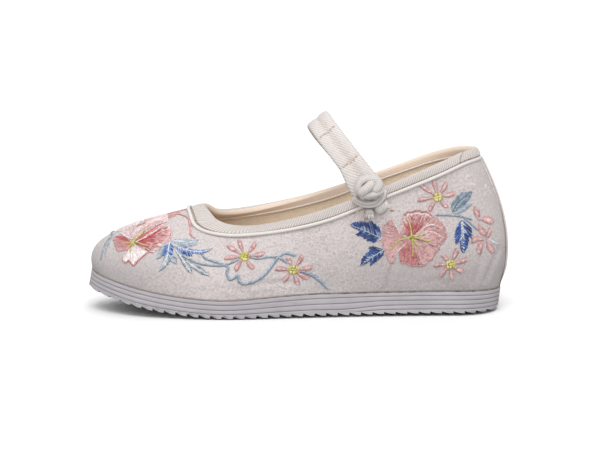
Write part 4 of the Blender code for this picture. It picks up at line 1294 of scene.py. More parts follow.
def insideRay(hub, direction, outline):
    # distances along a ray at which it crosses a closed outline
    a, b = outline, np.roll(outline, -1, 0)
    edge, start = b - a, a - hub
    cross = direction[0] * edge[:, 1] - direction[1] * edge[:, 0]
    cross = np.where(np.abs(cross) < 1e-9, 1e-9, cross)
    t = (start[:, 0] * edge[:, 1] - start[:, 1] * edge[:, 0]) / cross
    u = (start[:, 0] * direction[1] - start[:, 1] * direction[0]) / cross
    return np.sort(t[(u >= 0) & (u < 1) & (t > 0)])


def insideOutline(point, outline):
    a, b = outline, np.roll(outline, -1, 0)
    crosses = (a[:, 1] > point[1]) != (b[:, 1] > point[1])
    rise = np.where(np.abs(b[:, 1] - a[:, 1]) < 1e-9, 1e-9, b[:, 1] - a[:, 1])
    at = a[:, 0] + (point[1] - a[:, 1]) * (b[:, 0] - a[:, 0]) / rise
    return (crosses & (point[0] < at)).sum() % 2 == 1


leafStitch = {"width": 0.55, "shortest": 0.3, "longRow": 3.2, "paleWidth": 0.46, "veinWidths": (0.55, 0.5, 0.25)}


def veinLeaf(motif, outline, vein, edges, middles, veinTone=None, pale=0.0, pitch=0.5, lean=0.95, lift=0.34):
    # stitches run from the middle vein out and forward to the leaf's edge
    width = leafStitch["width"]
    for here, ahead, share in walkLine(smoothLine(vein), pitch):
        side = np.array([-ahead[1], ahead[0]])
        for turn in (1, -1):
            direction = unit(side * turn + ahead * lean * dice.uniform(0.85, 1.15))
            cuts = insideRay(here, direction, outline)
            if not len(cuts) or cuts[0] < leafStitch["shortest"]:
                continue
            length = cuts[0] * dice.uniform(0.86, 1.06)
            reach = direction * length
            a, b = anyTone(middles), anyTone(edges)
            if dice.random() < pale:  # pale hatching beside the vein
                stitch(motif, here, here + reach * dice.uniform(0.35, 0.7), tone("white"), tone("greyBlue"),
                       leafStitch["paleWidth"], lift + 0.22)
            if length > leafStitch["longRow"]:  # a long row is sewn as an inner and an outer one
                stitch(motif, here, here + reach * 0.6, a, b, width, lift + dice.uniform(0, 0.1))
                stitch(motif, here + reach * dice.uniform(0.35, 0.5), here + reach, b, b, width,
                       lift + dice.uniform(0.05, 0.15))
            else:
                stitch(motif, here, here + reach, a, b, width, lift + dice.uniform(0, 0.1))
    if veinTone:
        satinLine(motif, vein, leafStitch["veinWidths"], (veinTone,), pitch=0.5, slant=2.0, lift=lift + 0.25,
                  width=0.42)


def ruffled(line, hub, depth):
    # a wavy edge, the same for a petal and the line sewn round it
    away = line - hub
    angle = np.arctan2(away[:, 1], away[:, 0])
    return hub + away * (1 + depth * (np.sin(17 * angle) + 0.6 * np.sin(29 * angle + 1.0)))[:, None]


petal = {"width": 0.56, "shortest": 0.7, "bedPitch": 0.8, "bedLength": 4, "bedShade": 0.72, "bedWidth": 1.0,
         "bedLift": 0.16}


def shadedPetal(motif, outline, hub, stops, ruffle=0.0, pitch=0.52, row=2.9, lift=0.34, rough=0.36):
    # long and short stitches that fan out from the flower's heart, shaded from the inside out
    outline = ruffled(smoothLine(outline, 5, True), hub, ruffle)
    far = np.linalg.norm(outline - hub, axis=1)
    shares, colours = [s for s, _ in stops], np.array([tone(n) for _, n in stops])
    inside = insideOutline(hub, outline)

    def spansAlong(angle):
        # a ray from the heart, and the stretches of it that lie in the petal
        direction = np.array([math.cos(angle), math.sin(angle)])
        cuts = insideRay(hub, direction, outline)
        spans = np.concatenate([[0.0], cuts]) if inside else cuts
        return direction, list(zip(spans[0::2], spans[1::2]))

    # the bed is painted darker, as shade between the stitches above
    for angle in np.arange(0, 2 * pi, petal["bedPitch"] / far.mean()):  # an even bed of thread below
        direction, spans = spansAlong(angle)
        for low, high in spans:
            steps = np.linspace(low + 0.3, high - 0.2, 2 + int((high - low) / petal["bedLength"]))
            for a, b in zip(steps[:-1], steps[1:]):
                ends = [petal["bedShade"] * pointAt((r - low) / (high - low), shares, colours) for r in (a, b)]
                if b - a > 0.6:
                    stitch(motif, hub + direction * (a - 0.2), hub + direction * (b + 0.2), *ends,
                           petal["bedWidth"], petal["bedLift"], even=True)
    radius = max(0.4, far.min() * 0.6)
    while radius < far.max():
        count = max(6, int(2 * pi * (radius + row / 2) / pitch))
        for k in range(count):
            direction, spans = spansAlong(2 * pi * (k + dice.uniform(-0.2, 0.2)) / count)
            for low, high in spans:
                a = max(low, radius + dice.uniform(-0.45, 0.1) * row)
                b = min(high, radius + row * dice.uniform(0.85, 1.35))
                if b - a < petal["shortest"]:
                    continue
                at = [(r - low) / max(high - low, 1e-6) + dice.normal(0, rough) for r in (a, b)]
                ends = [pointAt(share, shares, colours) for share in at]
                stitch(motif, hub + direction * a, hub + direction * b, *ends, petal["width"],
                       lift + dice.uniform(0, 0.12))
        radius += row * 0.8


def satinPetal(motif, line, full):
    # a dusky rim with a paler middle sewn over it
    rim = (0.9, 1.5, full * 0.85, full, full * 1.05, full * 0.8)
    satinLine(motif, line, rim, ("dusty", "dusty", "pink"), slant=0.55)
    middle = (0.4, 0.9, full * 0.6, full * 0.72, full * 0.45)
    satinLine(motif, line, middle, ("palePink", "pink", "palePink", "blush"), pitch=0.5, slant=0.55, lift=0.62)


daisyShape = {"petalFrom": 2.3, "petalWidth": (3.1, 3.6), "heart": 2.9, "heartPitch": 0.4, "heartLean": 0.2,
              "heartRows": ((-1.0, -0.1), (-0.35, 0.4), (0.2, 1.0)),
              "heartTones": ("olive", "yellow", "yellow", "paleYellow", "paleYellow")}


def daisy(motif, centre, tips, mirror):
    # seven blunt satin petals round a padded yellow heart
    hub = flatOf(*centre) * mirror
    for tip in tips:
        end = flatOf(*tip) * mirror
        ahead = (end - hub) / np.hypot(*(end - hub))
        line = np.array([hub + ahead * daisyShape["petalFrom"], (hub + end) / 2 + ahead, end])
        satinPetal(motif, line, dice.uniform(*daisyShape["petalWidth"]))
    size = daisyShape["heart"]
    for x in np.arange(-2.7, 2.71, daisyShape["heartPitch"]):
        half = math.sqrt(max(0.3, size**2 - x * x))
        for low, high in daisyShape["heartRows"]:  # short stitches, some in shade
            colour = anyTone(daisyShape["heartTones"])
            stitch(motif, hub + np.array([x, low * half]), hub + np.array([x + daisyShape["heartLean"], high * half]),
                   colour, width=0.5, lift=0.5 + 0.5 * half / size)


def clothPlacer(mirror):
    # turns pixels of the photograph into places in the flat cloth, on the outer or the inner side
    return lambda *points: flatLine(*points) * mirror


def stamens(motif, at, heart, tips, widths, bend):
    # yellow lines from a flower's heart to their tips
    for x, y in tips:
        middle = ((heart[0] + x) / 2 + bend[0], (heart[1] + y) / 2 + bend[1])
        satinLine(motif, at(heart, middle, (x, y)), widths, stamenTones, slant=1.4, lift=0.75, shaded=True)


# places of the embroidery, as pixels of the photograph
daisies = [
    ((244.4, 256.5), ((239, 240), (228, 245.6), (225, 257.7), (235, 270), (252.7, 269), (264, 253.7), (256, 243))),
    ((293, 269.7), ((288, 258), (302.7, 256), (312, 267.5), (308, 278.7), (298, 284.5), (283.5, 281), (276, 268.4))),
    ((437.5, 197.3), ((434, 181), (420.6, 185), (417.5, 200), (429, 210.6), (446.6, 207.5), (455, 193.6),
            (447, 183))),
    ((450.3, 264.5), ((443, 255), (457.5, 249.4), (467, 259.7), (462.4, 272), (452, 279), (440.6, 275.4),
            (434, 265))),
]
vines = [
    (((173, 246), (182, 255), (193, 261), (204, 264.5), (218, 265.7), (227, 264.4), (239, 259)), (1.2, 1.5, 1.5)),
    (((202, 254), (205, 258), (209, 260), (222, 264), (228, 268), (227, 273), (229.5, 279), (233, 278.6),
      (237.5, 275.5), (239, 279.5), (241, 282.7), (246.4, 283.6), (257, 280), (266, 273), (276, 260), (283, 254),
      (289, 253.7), (295.5, 256)), (1.5, 1.6, 1.8, 2.0, 2.0, 1.7)),
    (((250, 257), (258, 258.6), (267, 257), (276, 257)), (1.5, 1.5, 1.5)),
    (((279, 257.5), (283, 260), (287.5, 263)), (1.6, 1.6)),
    (((301, 271), (311.6, 274.6), (320.5, 281), (328.6, 289)), (1.7, 2.3, 2.3, 1.5)),
]
print("stitching")


def sewVine(mirror):
    at = clothPlacer(mirror)
    for line, widths in vines:
        satinLine("embroidery_vine", at(*line), widths, ("steel", "greyBlue", "paleBlue", "paleBlue"),
                  slant=1.3, lift=0.45, shaded=True)
    for centre, tips in daisies[:2]:
        daisy("embroidery_vine", centre, tips, mirror)


# petals that run over the toe: pixels, then hidden points of the flat cloth, pixels again, tones
toeFarPetals = (
    (((134, 240), (145, 231), (158, 224), (168, 221.5)), ((6, -21), (-3, -24), (-6, -31), (-3, -37)),
     ((146, 223.5), (137, 229), (133, 235)), ((0, "rose"), (0.15, "palePink"), (0.4, "blush"), (0.7, "clothLight"),
            (1, "blush"))),
    (((132, 240), (131, 234)), ((4, -39), (-6, -40), (-9, -47), (-4, -53), (3, -54)), ((121, 233), (127, 237)),
     ((0, "palePink"), (0.3, "blush"), (0.7, "clothLight"), (1, "blush"))),
)
toePetals = (  # outline, tones from the heart outwards
    # right: dark throat, then stippled rose that pales to the edge
    (((136, 242.5), (144, 238), (152, 233.5), (160, 229.5), (167, 226), (171, 229), (171, 234), (169, 240),
      (163, 245), (157, 251), (151, 253), (145, 249), (139, 245.5)), ((0, "deepRed"), (0.35, "red"), (0.62, "rose"),
            (0.82, "pink"), (0.95, "palePink"), (1, "blush"))),
    (((136, 241), (143, 235), (151, 229.5), (160, 225), (166, 224.5), (160, 229), (151, 234), (143, 239)),
     ((0, "red"), (0.3, "red"), (0.55, "rose"), (0.8, "palePink"), (1, "blush"))),
    # left: dark inside
    (((132, 243), (127, 239.5), (121, 235.5), (113, 238.5), (114.5, 245), (117, 251.4), (123, 251.3), (128, 250),
      (131.5, 246)), ((0, "red"), (0.3, "rose"), (0.6, "pink"), (0.8, "pink"), (1, "palePink"))),
    # lower pale petal
    (((131.5, 247), (127, 253), (123.5, 256), (123, 260), (125, 262.7), (129, 260.5), (131, 263), (133.7, 265.7),
      (137, 261.5), (142, 257.6), (148, 252.5), (143, 250), (137, 246.5)),
      ((0, "palePink"), (0.15, "blush"), (0.4, "white"), (0.85, "white"), (1, "blush"))),
)
toeFolds = (  # deep red in the folds and thin contours over the toe: line, widths, tones
    (((116.5, 238), (121, 238.2), (126, 240.5), (131.5, 242.5)), (1.6, 3.4, 2.6, 0.8), ("deepRed", "red", "deepRed")),
    (((138, 242.6), (146, 239.5), (153, 235.6), (159.5, 230.5)), (1.0, 2.4, 2.8, 1.0), ("deepRed", "red", "deepRed")),
    (((141, 237.5), (148, 233), (155, 228.5), (161, 224.5)), (0.8, 1.8, 1.8, 0.7), ("red", "deepRed", "rose")),
    (((127, 231), (137, 226.5), (147, 222.5), (160, 217), (174, 211.6), (187, 208)), (0.5, 0.9, 0.9, 0.6),
     ("rose", "pink")),
    (((150, 225), (161, 219.6), (173, 214), (186, 209.6)), (0.5, 0.9, 0.9, 0.5), ("rose", "palePink")),
    (((143, 229), (156, 222), (168, 216.6), (180, 212.4)), (0.5, 0.8, 0.8, 0.5), ("pink", "blush")),
)
toeEdges = (  # lines sewn round the petals, and their tones
    (((113, 237.5), (117, 235.5), (121, 233.8), (125, 236.5), (130, 238.8), (134, 240)), ("white", "blush")),
    (((136, 242.5), (146, 237.5), (153, 233), (160, 229)), ("white", "palePink")),
    (((135, 239.5), (145, 231), (157, 225), (168, 222)), ("blush", "white", "pink")),
    (((139, 232), (150, 225.5), (162, 220.5), (176, 216)), ("palePink", "pink")),
    (((158.5, 228.5), (166, 226.5), (171, 230), (171.5, 236), (168.5, 242)), ("palePink", "blush", "pink")),
    (((123.5, 256), (123, 260.5), (126, 262.6), (129.5, 260.5), (133.5, 265.5), (138, 261), (148, 252.5)),
     ("rose", "pink")),
)


def sewToeFlower():
    name = "embroidery_toe"
    heart = (133.7, 241.7)
    at, hub = clothPlacer(np.array([1, 1])), flatOf(*heart)
    for near, hidden, back, stops in toeFarPetals:
        shadedPetal(name, np.concatenate([at(*near), hidden, at(*back)]), hub, stops)
    for outline, stops in toePetals:
        shadedPetal(name, at(*outline), hub, stops)
    for line, colours in toeEdges:
        satinLine(name, at(*line), (0.7, 1.1, 1.1, 0.7), colours, pitch=0.44, slant=0.8, lift=0.55)
    for line, widths, colours in toeFolds:
        satinLine(name, at(*line), widths, colours, slant=0.8, lift=0.5)
    tips = ((123, 243.8), (147, 228.5), (130.6, 252.4), (148, 246.3), (128, 247.5))
    stamens(name, at, heart, tips, (1.3, 1.0, 0.9, 1.2), (0.4, 0.6))
    # pink tendril back to the collar, and the grey-blue one round the toe
    satinLine(name, at((160, 219), (167, 217.5), (176, 214.5), (183, 215.5), (188.6, 219), (191, 228), (190.7, 234.8),
            (195, 238.5)), (0.7, 0.9, 1.1, 1.7, 1.7, 0.9), ("rose", "palePink", "pink", "blush"), slant=0.9,
            lift=0.45, shaded=True)
    satinLine(name, at((123, 232.7), (117, 234.5), (112, 237), (107, 242), (103.5, 250), (101, 260)),
              (0.8, 1.2, 1.5, 1.6, 1.0), stemTones, slant=1.2, lift=0.45, shaded=True)
    satinLine(name, at((112, 238), (107.5, 247), (105, 255)), (0.5, 0.9, 0.4), ("greyBlue", "paleBlue"), pitch=0.42,
              slant=0.8, lift=0.4)
    satinLine(name, np.array([[7.5, -57], [1, -58], [-7, -58], [-14, -61], [-18, -67]]), (1.0, 1.4, 1.4, 0.8),
              stemTones, slant=1.2, lift=0.45, shaded=True)


def sewToeLeaves(mirror):
    name = "embroidery_toe_leaves"
    at = clothPlacer(mirror)

    def leaf(outline, vein, edges, middles, veinTone=None):
        veinLeaf(name, at(*outline), at(*vein), edges, middles, veinTone)

    greys, pales = ("steel", "greyBlue", "steel"), ("white", "paleBlue", "greyBlue")
    # the leaf that hangs from the flower: grey and white below, bright blue above
    leaf(((169, 252), (163.5, 256), (162, 262), (158, 272), (164.5, 269), (169, 264.5), (172.5, 257)),
         ((168.5, 254), (165, 262), (159, 271)), greys, pales, "white")
    leaf(((165, 245), (159.5, 248.5), (157.4, 253), (156.6, 260), (161.5, 257.5), (165, 254)),
         ((164.5, 247), (160.6, 252.5), (157.6, 258.6)), greys, pales, "paleBlue")
    leaf(((168, 256), (171, 262.5), (177.6, 265), (177, 258), (172.5, 253.5)),
         ((169.5, 255.5), (173, 259.5), (177, 264)), greys, pales, "paleBlue")
    leaf(((171, 241.5), (163, 244.5), (161.5, 250), (163, 256.5), (169.7, 257), (173.8, 254.2), (173, 246)),
         ((169.8, 242.5), (168.6, 249), (167.6, 256.5)), ("blue", "sky", "royal"), ("sky", "paleBlue", "blue"),
         "white")
    # towards the heel: grey over bright blue, then two grey leaves below
    leaf(((170, 240), (176.8, 239), (187, 239), (193, 240.6), (199, 239), (196, 245.5), (192, 246.8), (187, 247.4),
          (180, 245.4), (172.8, 242.2)), ((171.5, 241), (182, 243), (195, 243.5)),
          ("greyBlue", "paleBlue", "greyBlue"), ("paleBlue", "white"), "paleBlue")
    leaf(((171, 243.5), (176.8, 245.6), (187, 247.4), (193.2, 249.6), (202.3, 250.2), (213.3, 248), (207.4, 252.4),
          (200.3, 254.8), (193.6, 253.8), (191.4, 257.6), (187, 256.5), (181, 253.6), (174.8, 248.4)),
          ((172, 244.5), (182, 248.6), (192, 251.5), (203, 252), (212, 249)), ("royal", "blue", "sky"),
          ("sky", "paleBlue", "white", "blue"), "white")
    leaf(((174, 247.5), (178, 251), (184, 257.5), (189.5, 263.5), (192, 267), (192.3, 274.5), (187, 271), (183, 265),
          (179.5, 258.5), (176, 252)), ((174.5, 248.5), (182, 258.5), (191.6, 273)), greys, pales, "white")
    leaf(((186, 260), (193, 263), (199, 266), (202.5, 267.6), (206, 272), (210.5, 275.6), (203, 275.5), (197, 271.6),
          (191, 267.2)), ((187, 261.5), (198, 269), (209, 275.2)), greys, pales, "white")


heelPetals = (  # outline, tones from the heart outwards, how wavy the edge is
    # left petal and its lower lobe
    (((410, 239), (404, 237), (399.8, 233.5), (396, 226), (392.6, 220), (387.5, 223), (383.7, 228), (381.5, 239),
      (385, 250.7), (389, 256), (394.5, 254.5), (400, 248.5), (407, 241.5)),
      ((0, "rose"), (0.25, "pink"), (0.5, "palePink"), (0.8, "pink"), (1, "palePink")), 0.02),
    (((385.5, 251.5), (386.5, 258), (390.7, 264), (394.3, 260), (395.5, 255), (399, 249.5), (393, 250)),
     ((0, "palePink"), (0.6, "pink"), (1, "palePink")), 0.0),
    # top petal, dark at the notch
    (((411, 236), (405, 234.5), (400.5, 232), (401.6, 222), (404.5, 215.5), (409.8, 212.6), (418, 212), (425, 212.6),
      (431.5, 215.6), (428, 222), (421, 229), (414, 235.5)), ((0, "red"), (0.3, "red"), (0.55, "rose"), (0.8, "pink"),
            (1, "blush")), 0.015),
    # right and bottom petals
    (((414, 236), (421, 229.5), (428, 222.5), (432, 216), (437, 219), (441.5, 223.5), (445.6, 236), (442, 240),
      (439.8, 245), (434, 246), (425, 241.5), (416, 238)), ((0, "pink"), (0.3, "blush"), (0.55, "pink"),
            (0.8, "rose"), (1, "palePink")), 0.02),
    (((414, 239), (424, 242.5), (434, 246.5), (439, 247), (434.7, 254.5), (430, 261), (424, 264.7), (419, 262),
      (416.5, 252), (413, 243)), ((0, "pink"), (0.3, "palePink"), (0.65, "pink"), (1, "palePink")), 0.02),
    (((411, 239.5), (415, 246), (418.5, 256), (420, 264.5), (412, 265.2), (405, 263.5), (401, 262), (399, 255),
      (400.5, 249.5), (405, 243.5)), ((0, "pink"), (0.3, "rose"), (0.6, "red"), (0.85, "rose"), (1, "pink")), 0.02),
)
heelBlossoms = (  # petals of two small blossoms by the heel seam: line and width
    (((477, 219), (476.6, 214), (477, 208.5)), 3.4),
    (((478, 219.5), (485, 219), (493, 222.5)), 3.2),
    (((478, 223), (481, 229), (484, 235.5)), 3.0),
    (((485.5, 238.5), (488.5, 233.5), (491, 229.5)), 2.6),
    (((483.5, 239.7), (477, 239.2), (471.5, 240.5)), 2.6),
    (((484, 241), (480.5, 246.5), (478, 252.4)), 3.2),
    (((486, 241), (489.5, 246.5), (492.7, 252.4)), 3.2),
)
heelEdges = (  # lines sewn round the petals, and their tones
    (((403, 214.5), (409, 212), (418, 210.8), (426, 212), (432, 215)), ("rose", "pink", "rose")),
    (((404, 217.4), (410, 214.8), (419, 213.6), (428, 215.2), (431, 217)), ("white", "blush")),
    (((400.6, 232), (401.4, 223), (404, 215.5)), ("blush", "palePink")),
    (((399.6, 234), (396.5, 227), (392.6, 220)), ("white", "palePink")),
    (((392.6, 220), (387, 223), (383.5, 228.5), (381.6, 239), (384.5, 250)), ("palePink", "pink")),
    (((432, 216), (440.8, 222.5), (445, 231), (445.8, 237), (440, 245), (434.5, 254.5), (424, 264.7), (413, 265.6),
      (401, 262)), ("palePink", "pink", "rose")),
    (((418, 232.5), (425, 227), (433, 224.5), (441, 228)), ("white", "blush")),
    (((420, 236), (428, 232), (436, 233), (443, 238)), ("blush", "palePink")),
    (((407, 242.5), (400.5, 248.5), (395, 255)), ("blush", "palePink")),
)


def sewHeelSpray(mirror):
    name = "embroidery_heel" if mirror[0] > 0 else "embroidery_heel_inner"
    at = clothPlacer(mirror)

    def leaf(outline, vein, edges, middles, veinTone=None, pale=0.0):
        veinLeaf(name, at(*outline), at(*vein), edges, middles, veinTone, pale=pale)

    blues, hatch = ("royal", "navy", "royal", "blue"), ("royal", "paleBlue", "navy", "blue")
    leaf(((383.5, 242), (383, 234), (379.5, 227), (374, 223), (370.5, 219.8), (368.5, 221.6), (362, 220.8),
          (354, 221.6), (349, 225), (354, 228.5), (360, 231), (354.4, 235.6), (361, 236.8), (366, 240.6),
          (372, 242.8), (378, 243.4)), ((383, 239), (372, 234), (361, 229), (351, 225.6)), blues, hatch, "paleBlue",
          0.07)
    leaf(((384.5, 251), (382, 244), (375, 243.4), (365.4, 247.2), (370, 249), (366.6, 252), (361.6, 257.4),
          (359.8, 266.4), (366, 264), (369.6, 261.5), (369.2, 267.6), (376, 262.4), (383, 256.4)),
          ((385.5, 248.5), (377, 254), (369, 259), (361, 265.4)), blues, hatch, "paleBlue", 0.07)
    # grey-blue leaf and stem above the heel, royal leaf below it
    satinLine(name, at((436.5, 215), (446, 215), (456, 215.6), (465, 217.5), (472, 219.8)), (1.3, 1.4, 1.3, 0.8),
              stemTones, slant=1.3, lift=0.45, shaded=True)
    satinLine(name, at((464, 218), (471, 224), (478, 230.6)), (0.8, 1.1, 0.6), stemTones, slant=1.3, lift=0.45,
              shaded=True)
    leaf(((451.3, 213), (450.8, 204.4), (455, 197), (461, 192), (472.6, 190.8), (470.6, 198), (465.7, 204.4),
          (456.5, 210.5)), ((452, 212), (457, 204), (464, 197), (471.4, 191.8)), ("steel", "greyBlue", "steel"),
          stemTones, "steel")
    leaf(((453.6, 214), (459.5, 206.5), (466.5, 203.4), (472.8, 202.8), (469, 208), (463.4, 212.2), (457.6, 214.4)),
         ((454, 213.5), (461, 209.2), (471.5, 203.4)), ("steel", "greyBlue"), ("greyBlue", "paleBlue"), "paleBlue")
    leaf(((462.2, 218), (456.2, 227.4), (454.4, 235.4), (455, 246), (459.4, 241.6), (460.4, 250), (463.6, 253.8),
          (468, 247), (469.6, 237.5), (473, 240.4), (471.4, 228), (467, 221.4)),
          ((462, 219.5), (462, 232), (462.5, 243), (463.3, 252.4)), blues, ("royal", "blue", "royal", "sky"), None,
          0.22)
    for k in range(13):  # pale hatching up the middle
        y = 221.5 + k * 1.3
        x = 461.4 + 0.1 * k
        stitch(name, at((x - 1.6, y + 1.6))[0], at((x + 1.9, y - 1.2))[0], tone("white" if k % 2 else "paleBlue"),
               width=0.5, lift=0.62)
    heart = (412, 236.7)
    hub = flatOf(*heart) * mirror
    for outline, stops, ruffle in heelPetals:
        shadedPetal(name, at(*outline), hub, stops, ruffle)
    for line, colours in heelEdges:
        edge = ruffled(smoothLine(at(*line)), hub, 0.02)
        satinLine(name, edge, (0.6, 1.0, 1.0, 0.6), colours, pitch=0.44, slant=0.8, lift=0.52)
    tips = ((408.6, 219.5), (425.8, 233), (429.8, 241), (417.5, 248.5), (412.5, 256))
    stamens(name, at, heart, tips, (1.6, 1.1, 1.0, 1.2), (0.6, 0.5))
    satinLine(name, at(heart, (405, 238.6), (398, 240.6), (391, 249.5)), (1.6, 1.1, 1.0, 1.0), stamenTones, slant=1.4,
              lift=0.75, shaded=True)
    # the heart's dome, olive below and yellow above: painted shade
    for x in np.arange(-1.5, 1.6, 0.4):
        half = math.sqrt(max(0.2, 1.7**2 - x * x))
        stitch(name, hub + np.array([x, -half]), hub + np.array([x + 0.1, half]), tone("olive"), tone("yellow"),
               width=0.5, lift=1.0)
    for centre, tips in daisies[2:]:
        daisy(name, centre, tips, mirror)
    for line, wide in heelBlossoms:
        satinPetal(name, at(*line), wide * 1.6)
    satinLine(name, at((489.6, 239.7), (493, 242), (497, 244.8)), (1.0, 1.4, 0.8), ("white", "paleBlue"), pitch=0.42,
              slant=0.9, lift=0.45)


selfTones = (  # middle, half width and half height in pixels, and how many curls
    (311, 238, 15, 8, 54), (279, 245, 6, 6, 12), (465, 184, 11, 8, 34), (285, 289, 12, 5, 22), (486, 190, 6, 8, 14),
    (345, 255, 9, 7, 16), (215, 285, 14, 5, 16))


def sewSelfTones(mirror):
    # patches of small swirling stitches in the cloth's own tone
    at = clothPlacer(mirror)
    for x, y, wide, high, count in selfTones:
        for _ in range(count):
            r, turn = math.sqrt(dice.random()), dice.uniform(0, 2 * pi)
            px, py = x + wide * r * math.cos(turn), y + high * r * math.sin(turn)
            size, spin = dice.uniform(0.9, 2.4), dice.choice((-1, 1))
            sweep = turn + spin * np.linspace(0, dice.uniform(2.2, 4.6), 6)
            sizes = [size * (1 - 0.1 * k) for k in range(len(sweep))]
            line = at(*((px + s * math.cos(t), py + s * math.sin(t)) for s, t in zip(sizes, sweep)))
            colour = tone("clothLight" if dice.random() > 0.3 else "clothShade")
            for a, b in zip(line[:-1], line[1:]):
                stitch("embroidery_self", a, b, colour, width=0.5, lift=0.13, even=True)


thread = {"stations": (0.0, 0.22, 0.78, 1.0), "rise": (-0.3, 0.95, 0.95, -0.3), "girth": (0.5, 1.0, 1.0, 0.5),
          "corners": ((0.5, 0.0), (0.0, 0.45), (-0.5, 0.0), (0.0, -0.45))}


def plainStitch(name):
    # one closed thread with four corners at each of four stations
    bm = bmesh.new()
    bmesh.ops.create_cube(bm, size=1.0)
    lengthwise = [e for e in bm.edges if abs(e.verts[0].co.x - e.verts[1].co.x) > 0.5]
    bmesh.ops.subdivide_edges(bm, edges=lengthwise, cuts=len(thread["stations"]) - 2, use_grid_fill=True)
    for face in bm.faces:
        face.smooth = True
    return meshObject(name, bm)


def threadMesh(name, stitches, surface=clothAt):
    # all stitches of one motif as one mesh: a plain stitch is repeated, and each copy is laid on the surface
    piece = plainStitch(name)
    spots = [v.co for v in piece.data.vertices]
    station = np.array([round((p.x + 0.5) * (len(thread["stations"]) - 1)) for p in spots])
    corner = np.array([int(math.atan2(p.z, p.y) % (2 * pi) // (pi / 2)) for p in spots])
    share, rise, girth = (np.array(thread[key]) for key in ("stations", "rise", "girth"))
    corners = np.array(thread["corners"])[corner]
    places, colours = np.zeros((len(stitches), len(spots), 3)), np.ones((len(stitches), len(spots), 4))
    for n, (start, end, colour, endColour, width, lift) in enumerate(stitches):
        points, normals = (np.array(rows) for rows in zip(*(surface(start + (end - start) * t) for t in share)))
        side = unit(np.cross(points[-1] - points[0] + 1e-6, normals))
        centre = points + normals * (rise * lift)[:, None]
        around = side[station] * corners[:, :1] + normals[station] * corners[:, 1:]
        places[n] = centre[station] + around * (girth * width)[station][:, None]
        colours[n, :, :3] = colour + (endColour - colour) * share[station][:, None]
    repeat = piece.modifiers.new("repeat", "ARRAY")
    repeat.count = len(stitches)
    repeat.use_relative_offset = False
    single = piece.data
    mesh = bpy.data.meshes.new_from_object(piece.evaluated_get(bpy.context.evaluated_depsgraph_get()))
    piece.modifiers.clear()
    piece.data = mesh
    bpy.data.meshes.remove(single)
    mesh.name = name
    mesh.vertices.foreach_set("co", (places * mm).ravel())
    layer = mesh.color_attributes.new("threadColour", "FLOAT_COLOR", "POINT")
    layer.data.foreach_set("color", colours.ravel())
    bm = bmesh.new()
    bm.from_mesh(mesh)
    bmesh.ops.recalc_face_normals(bm, faces=bm.faces)
    bm.to_mesh(mesh)
    bm.free()
    return piece


def threadMaterial():
    material, tree, shader = startMaterial("embroidery_thread", 0.55, 0.1)
    shader.inputs["Specular IOR Level"].default_value = 0.4
    colour = tree.nodes.new("ShaderNodeAttribute")
    colour.attribute_name = "threadColour"
    fibres = placeGroup(tree, fibreTone, coordinate(tree, False), Size=2600.0)
    soft = mixColour(tree, remap(tree, fibres["Tone"], 0.3, 0.7, 0.0, 0.3), colour.outputs["Color"],
            (1.0, 0.98, 0.97), "SOFT_LIGHT")
    tree.links.new(soft, shader.inputs["Base Color"])
    bumpTo(tree, shader, fibres["Height"], 0.3, 0.0001)
    return material


def strapAt(place):
    # a place along and across the strap's outer face
    centre, out, across, path, _ = strapLine
    at = int(np.argmin(np.abs(path - place[0])))
    rise = max(bandHeight(place[1]), strap["valley"]) - strap["barDip"]
    return centre[at] + across * (place[1] + strap["rearward"]) + out[at] * rise, out[at]


def frayAt(place):
    # frays are laid straight in space
    return place, np.array([0.05, -0.98, 0.2])


seams = {"barFrom": -5.4, "barTo": 4.4, "barPitch": 2.3, "barStitch": 2.0, "barSkew": 0.5, "barTurn": 1.7,
         "tapeSteps": 1201, "tapeBelow": 0.35, "tapePitch": 2.6, "tapeStitch": 1.9,
         "bandRows": (-1.1, 2.5), "bandFrom": 9.0, "bandTo": 50.0, "bandPitch": 2.0, "bandStitch": 1.2}


def sewStrapBars():
    # two rows of tan stitches across the bands
    for at in strapLine[4]:
        for k, a in enumerate(np.arange(seams["barFrom"], seams["barTo"], seams["barPitch"])):
            start, end = (at + seams["barSkew"] * math.sin((k + ahead) * seams["barTurn"]) for ahead in (0, 1))
            stitch("strap_stitches", np.array([start, a]), np.array([end, a + seams["barStitch"]]), tone("tan"),
                   width=0.42, lift=0.36)


def seamLine():
    # the gutter between the tape and the piping, all round the collar
    angles, length = evenAngles(collarAt, seams["tapeSteps"])
    x = collarAt(angles)[:, 0]
    depth = (seams["tapeBelow"] - binding["outside"][1][1]) * tableValue(binding["depths"], x, 1)
    base, normal, _ = wallFrame(angles, shareBelowCollar(angles, depth))
    return np.linspace(0, length, seams["tapeSteps"]), base, normal


def seamAt(place):
    path, base, normal = tapeSeam
    return pointAt(place[0], path, base), pointAt(place[0], path, normal)


def sewTapeSeam():
    for at in np.arange(1.0, tapeSeam[0][-1] - 2, seams["tapePitch"]):
        stitch("tape_stitches", np.array([at, 0.0]), np.array([at + seams["tapeStitch"], 0.0]), tone("paleTan"),
               width=0.55, lift=0.5)
    for along in np.arange(seams["bandFrom"], seams["bandTo"], seams["bandPitch"]):  # two rows down the strap
        for across in seams["bandRows"]:
            stitch("strap_stitches", np.array([along, across]), np.array([along + seams["bandStitch"], across]),
                   tone("paleTan"), width=0.34, lift=0.5)


frays = {"count": 46, "spread": 2.5, "tacks": (
    ((349.5, 214), (356, 212.4)), ((358.6, 211.2), (364, 208.2)), ((364.6, 211), (366, 218)),
    ((364, 220), (368.4, 218.2)), ((374, 209.4), (377.4, 212.6)), ((389.8, 210.4), (394.6, 211)),
    ((381, 206.4), (386, 202.6)))}


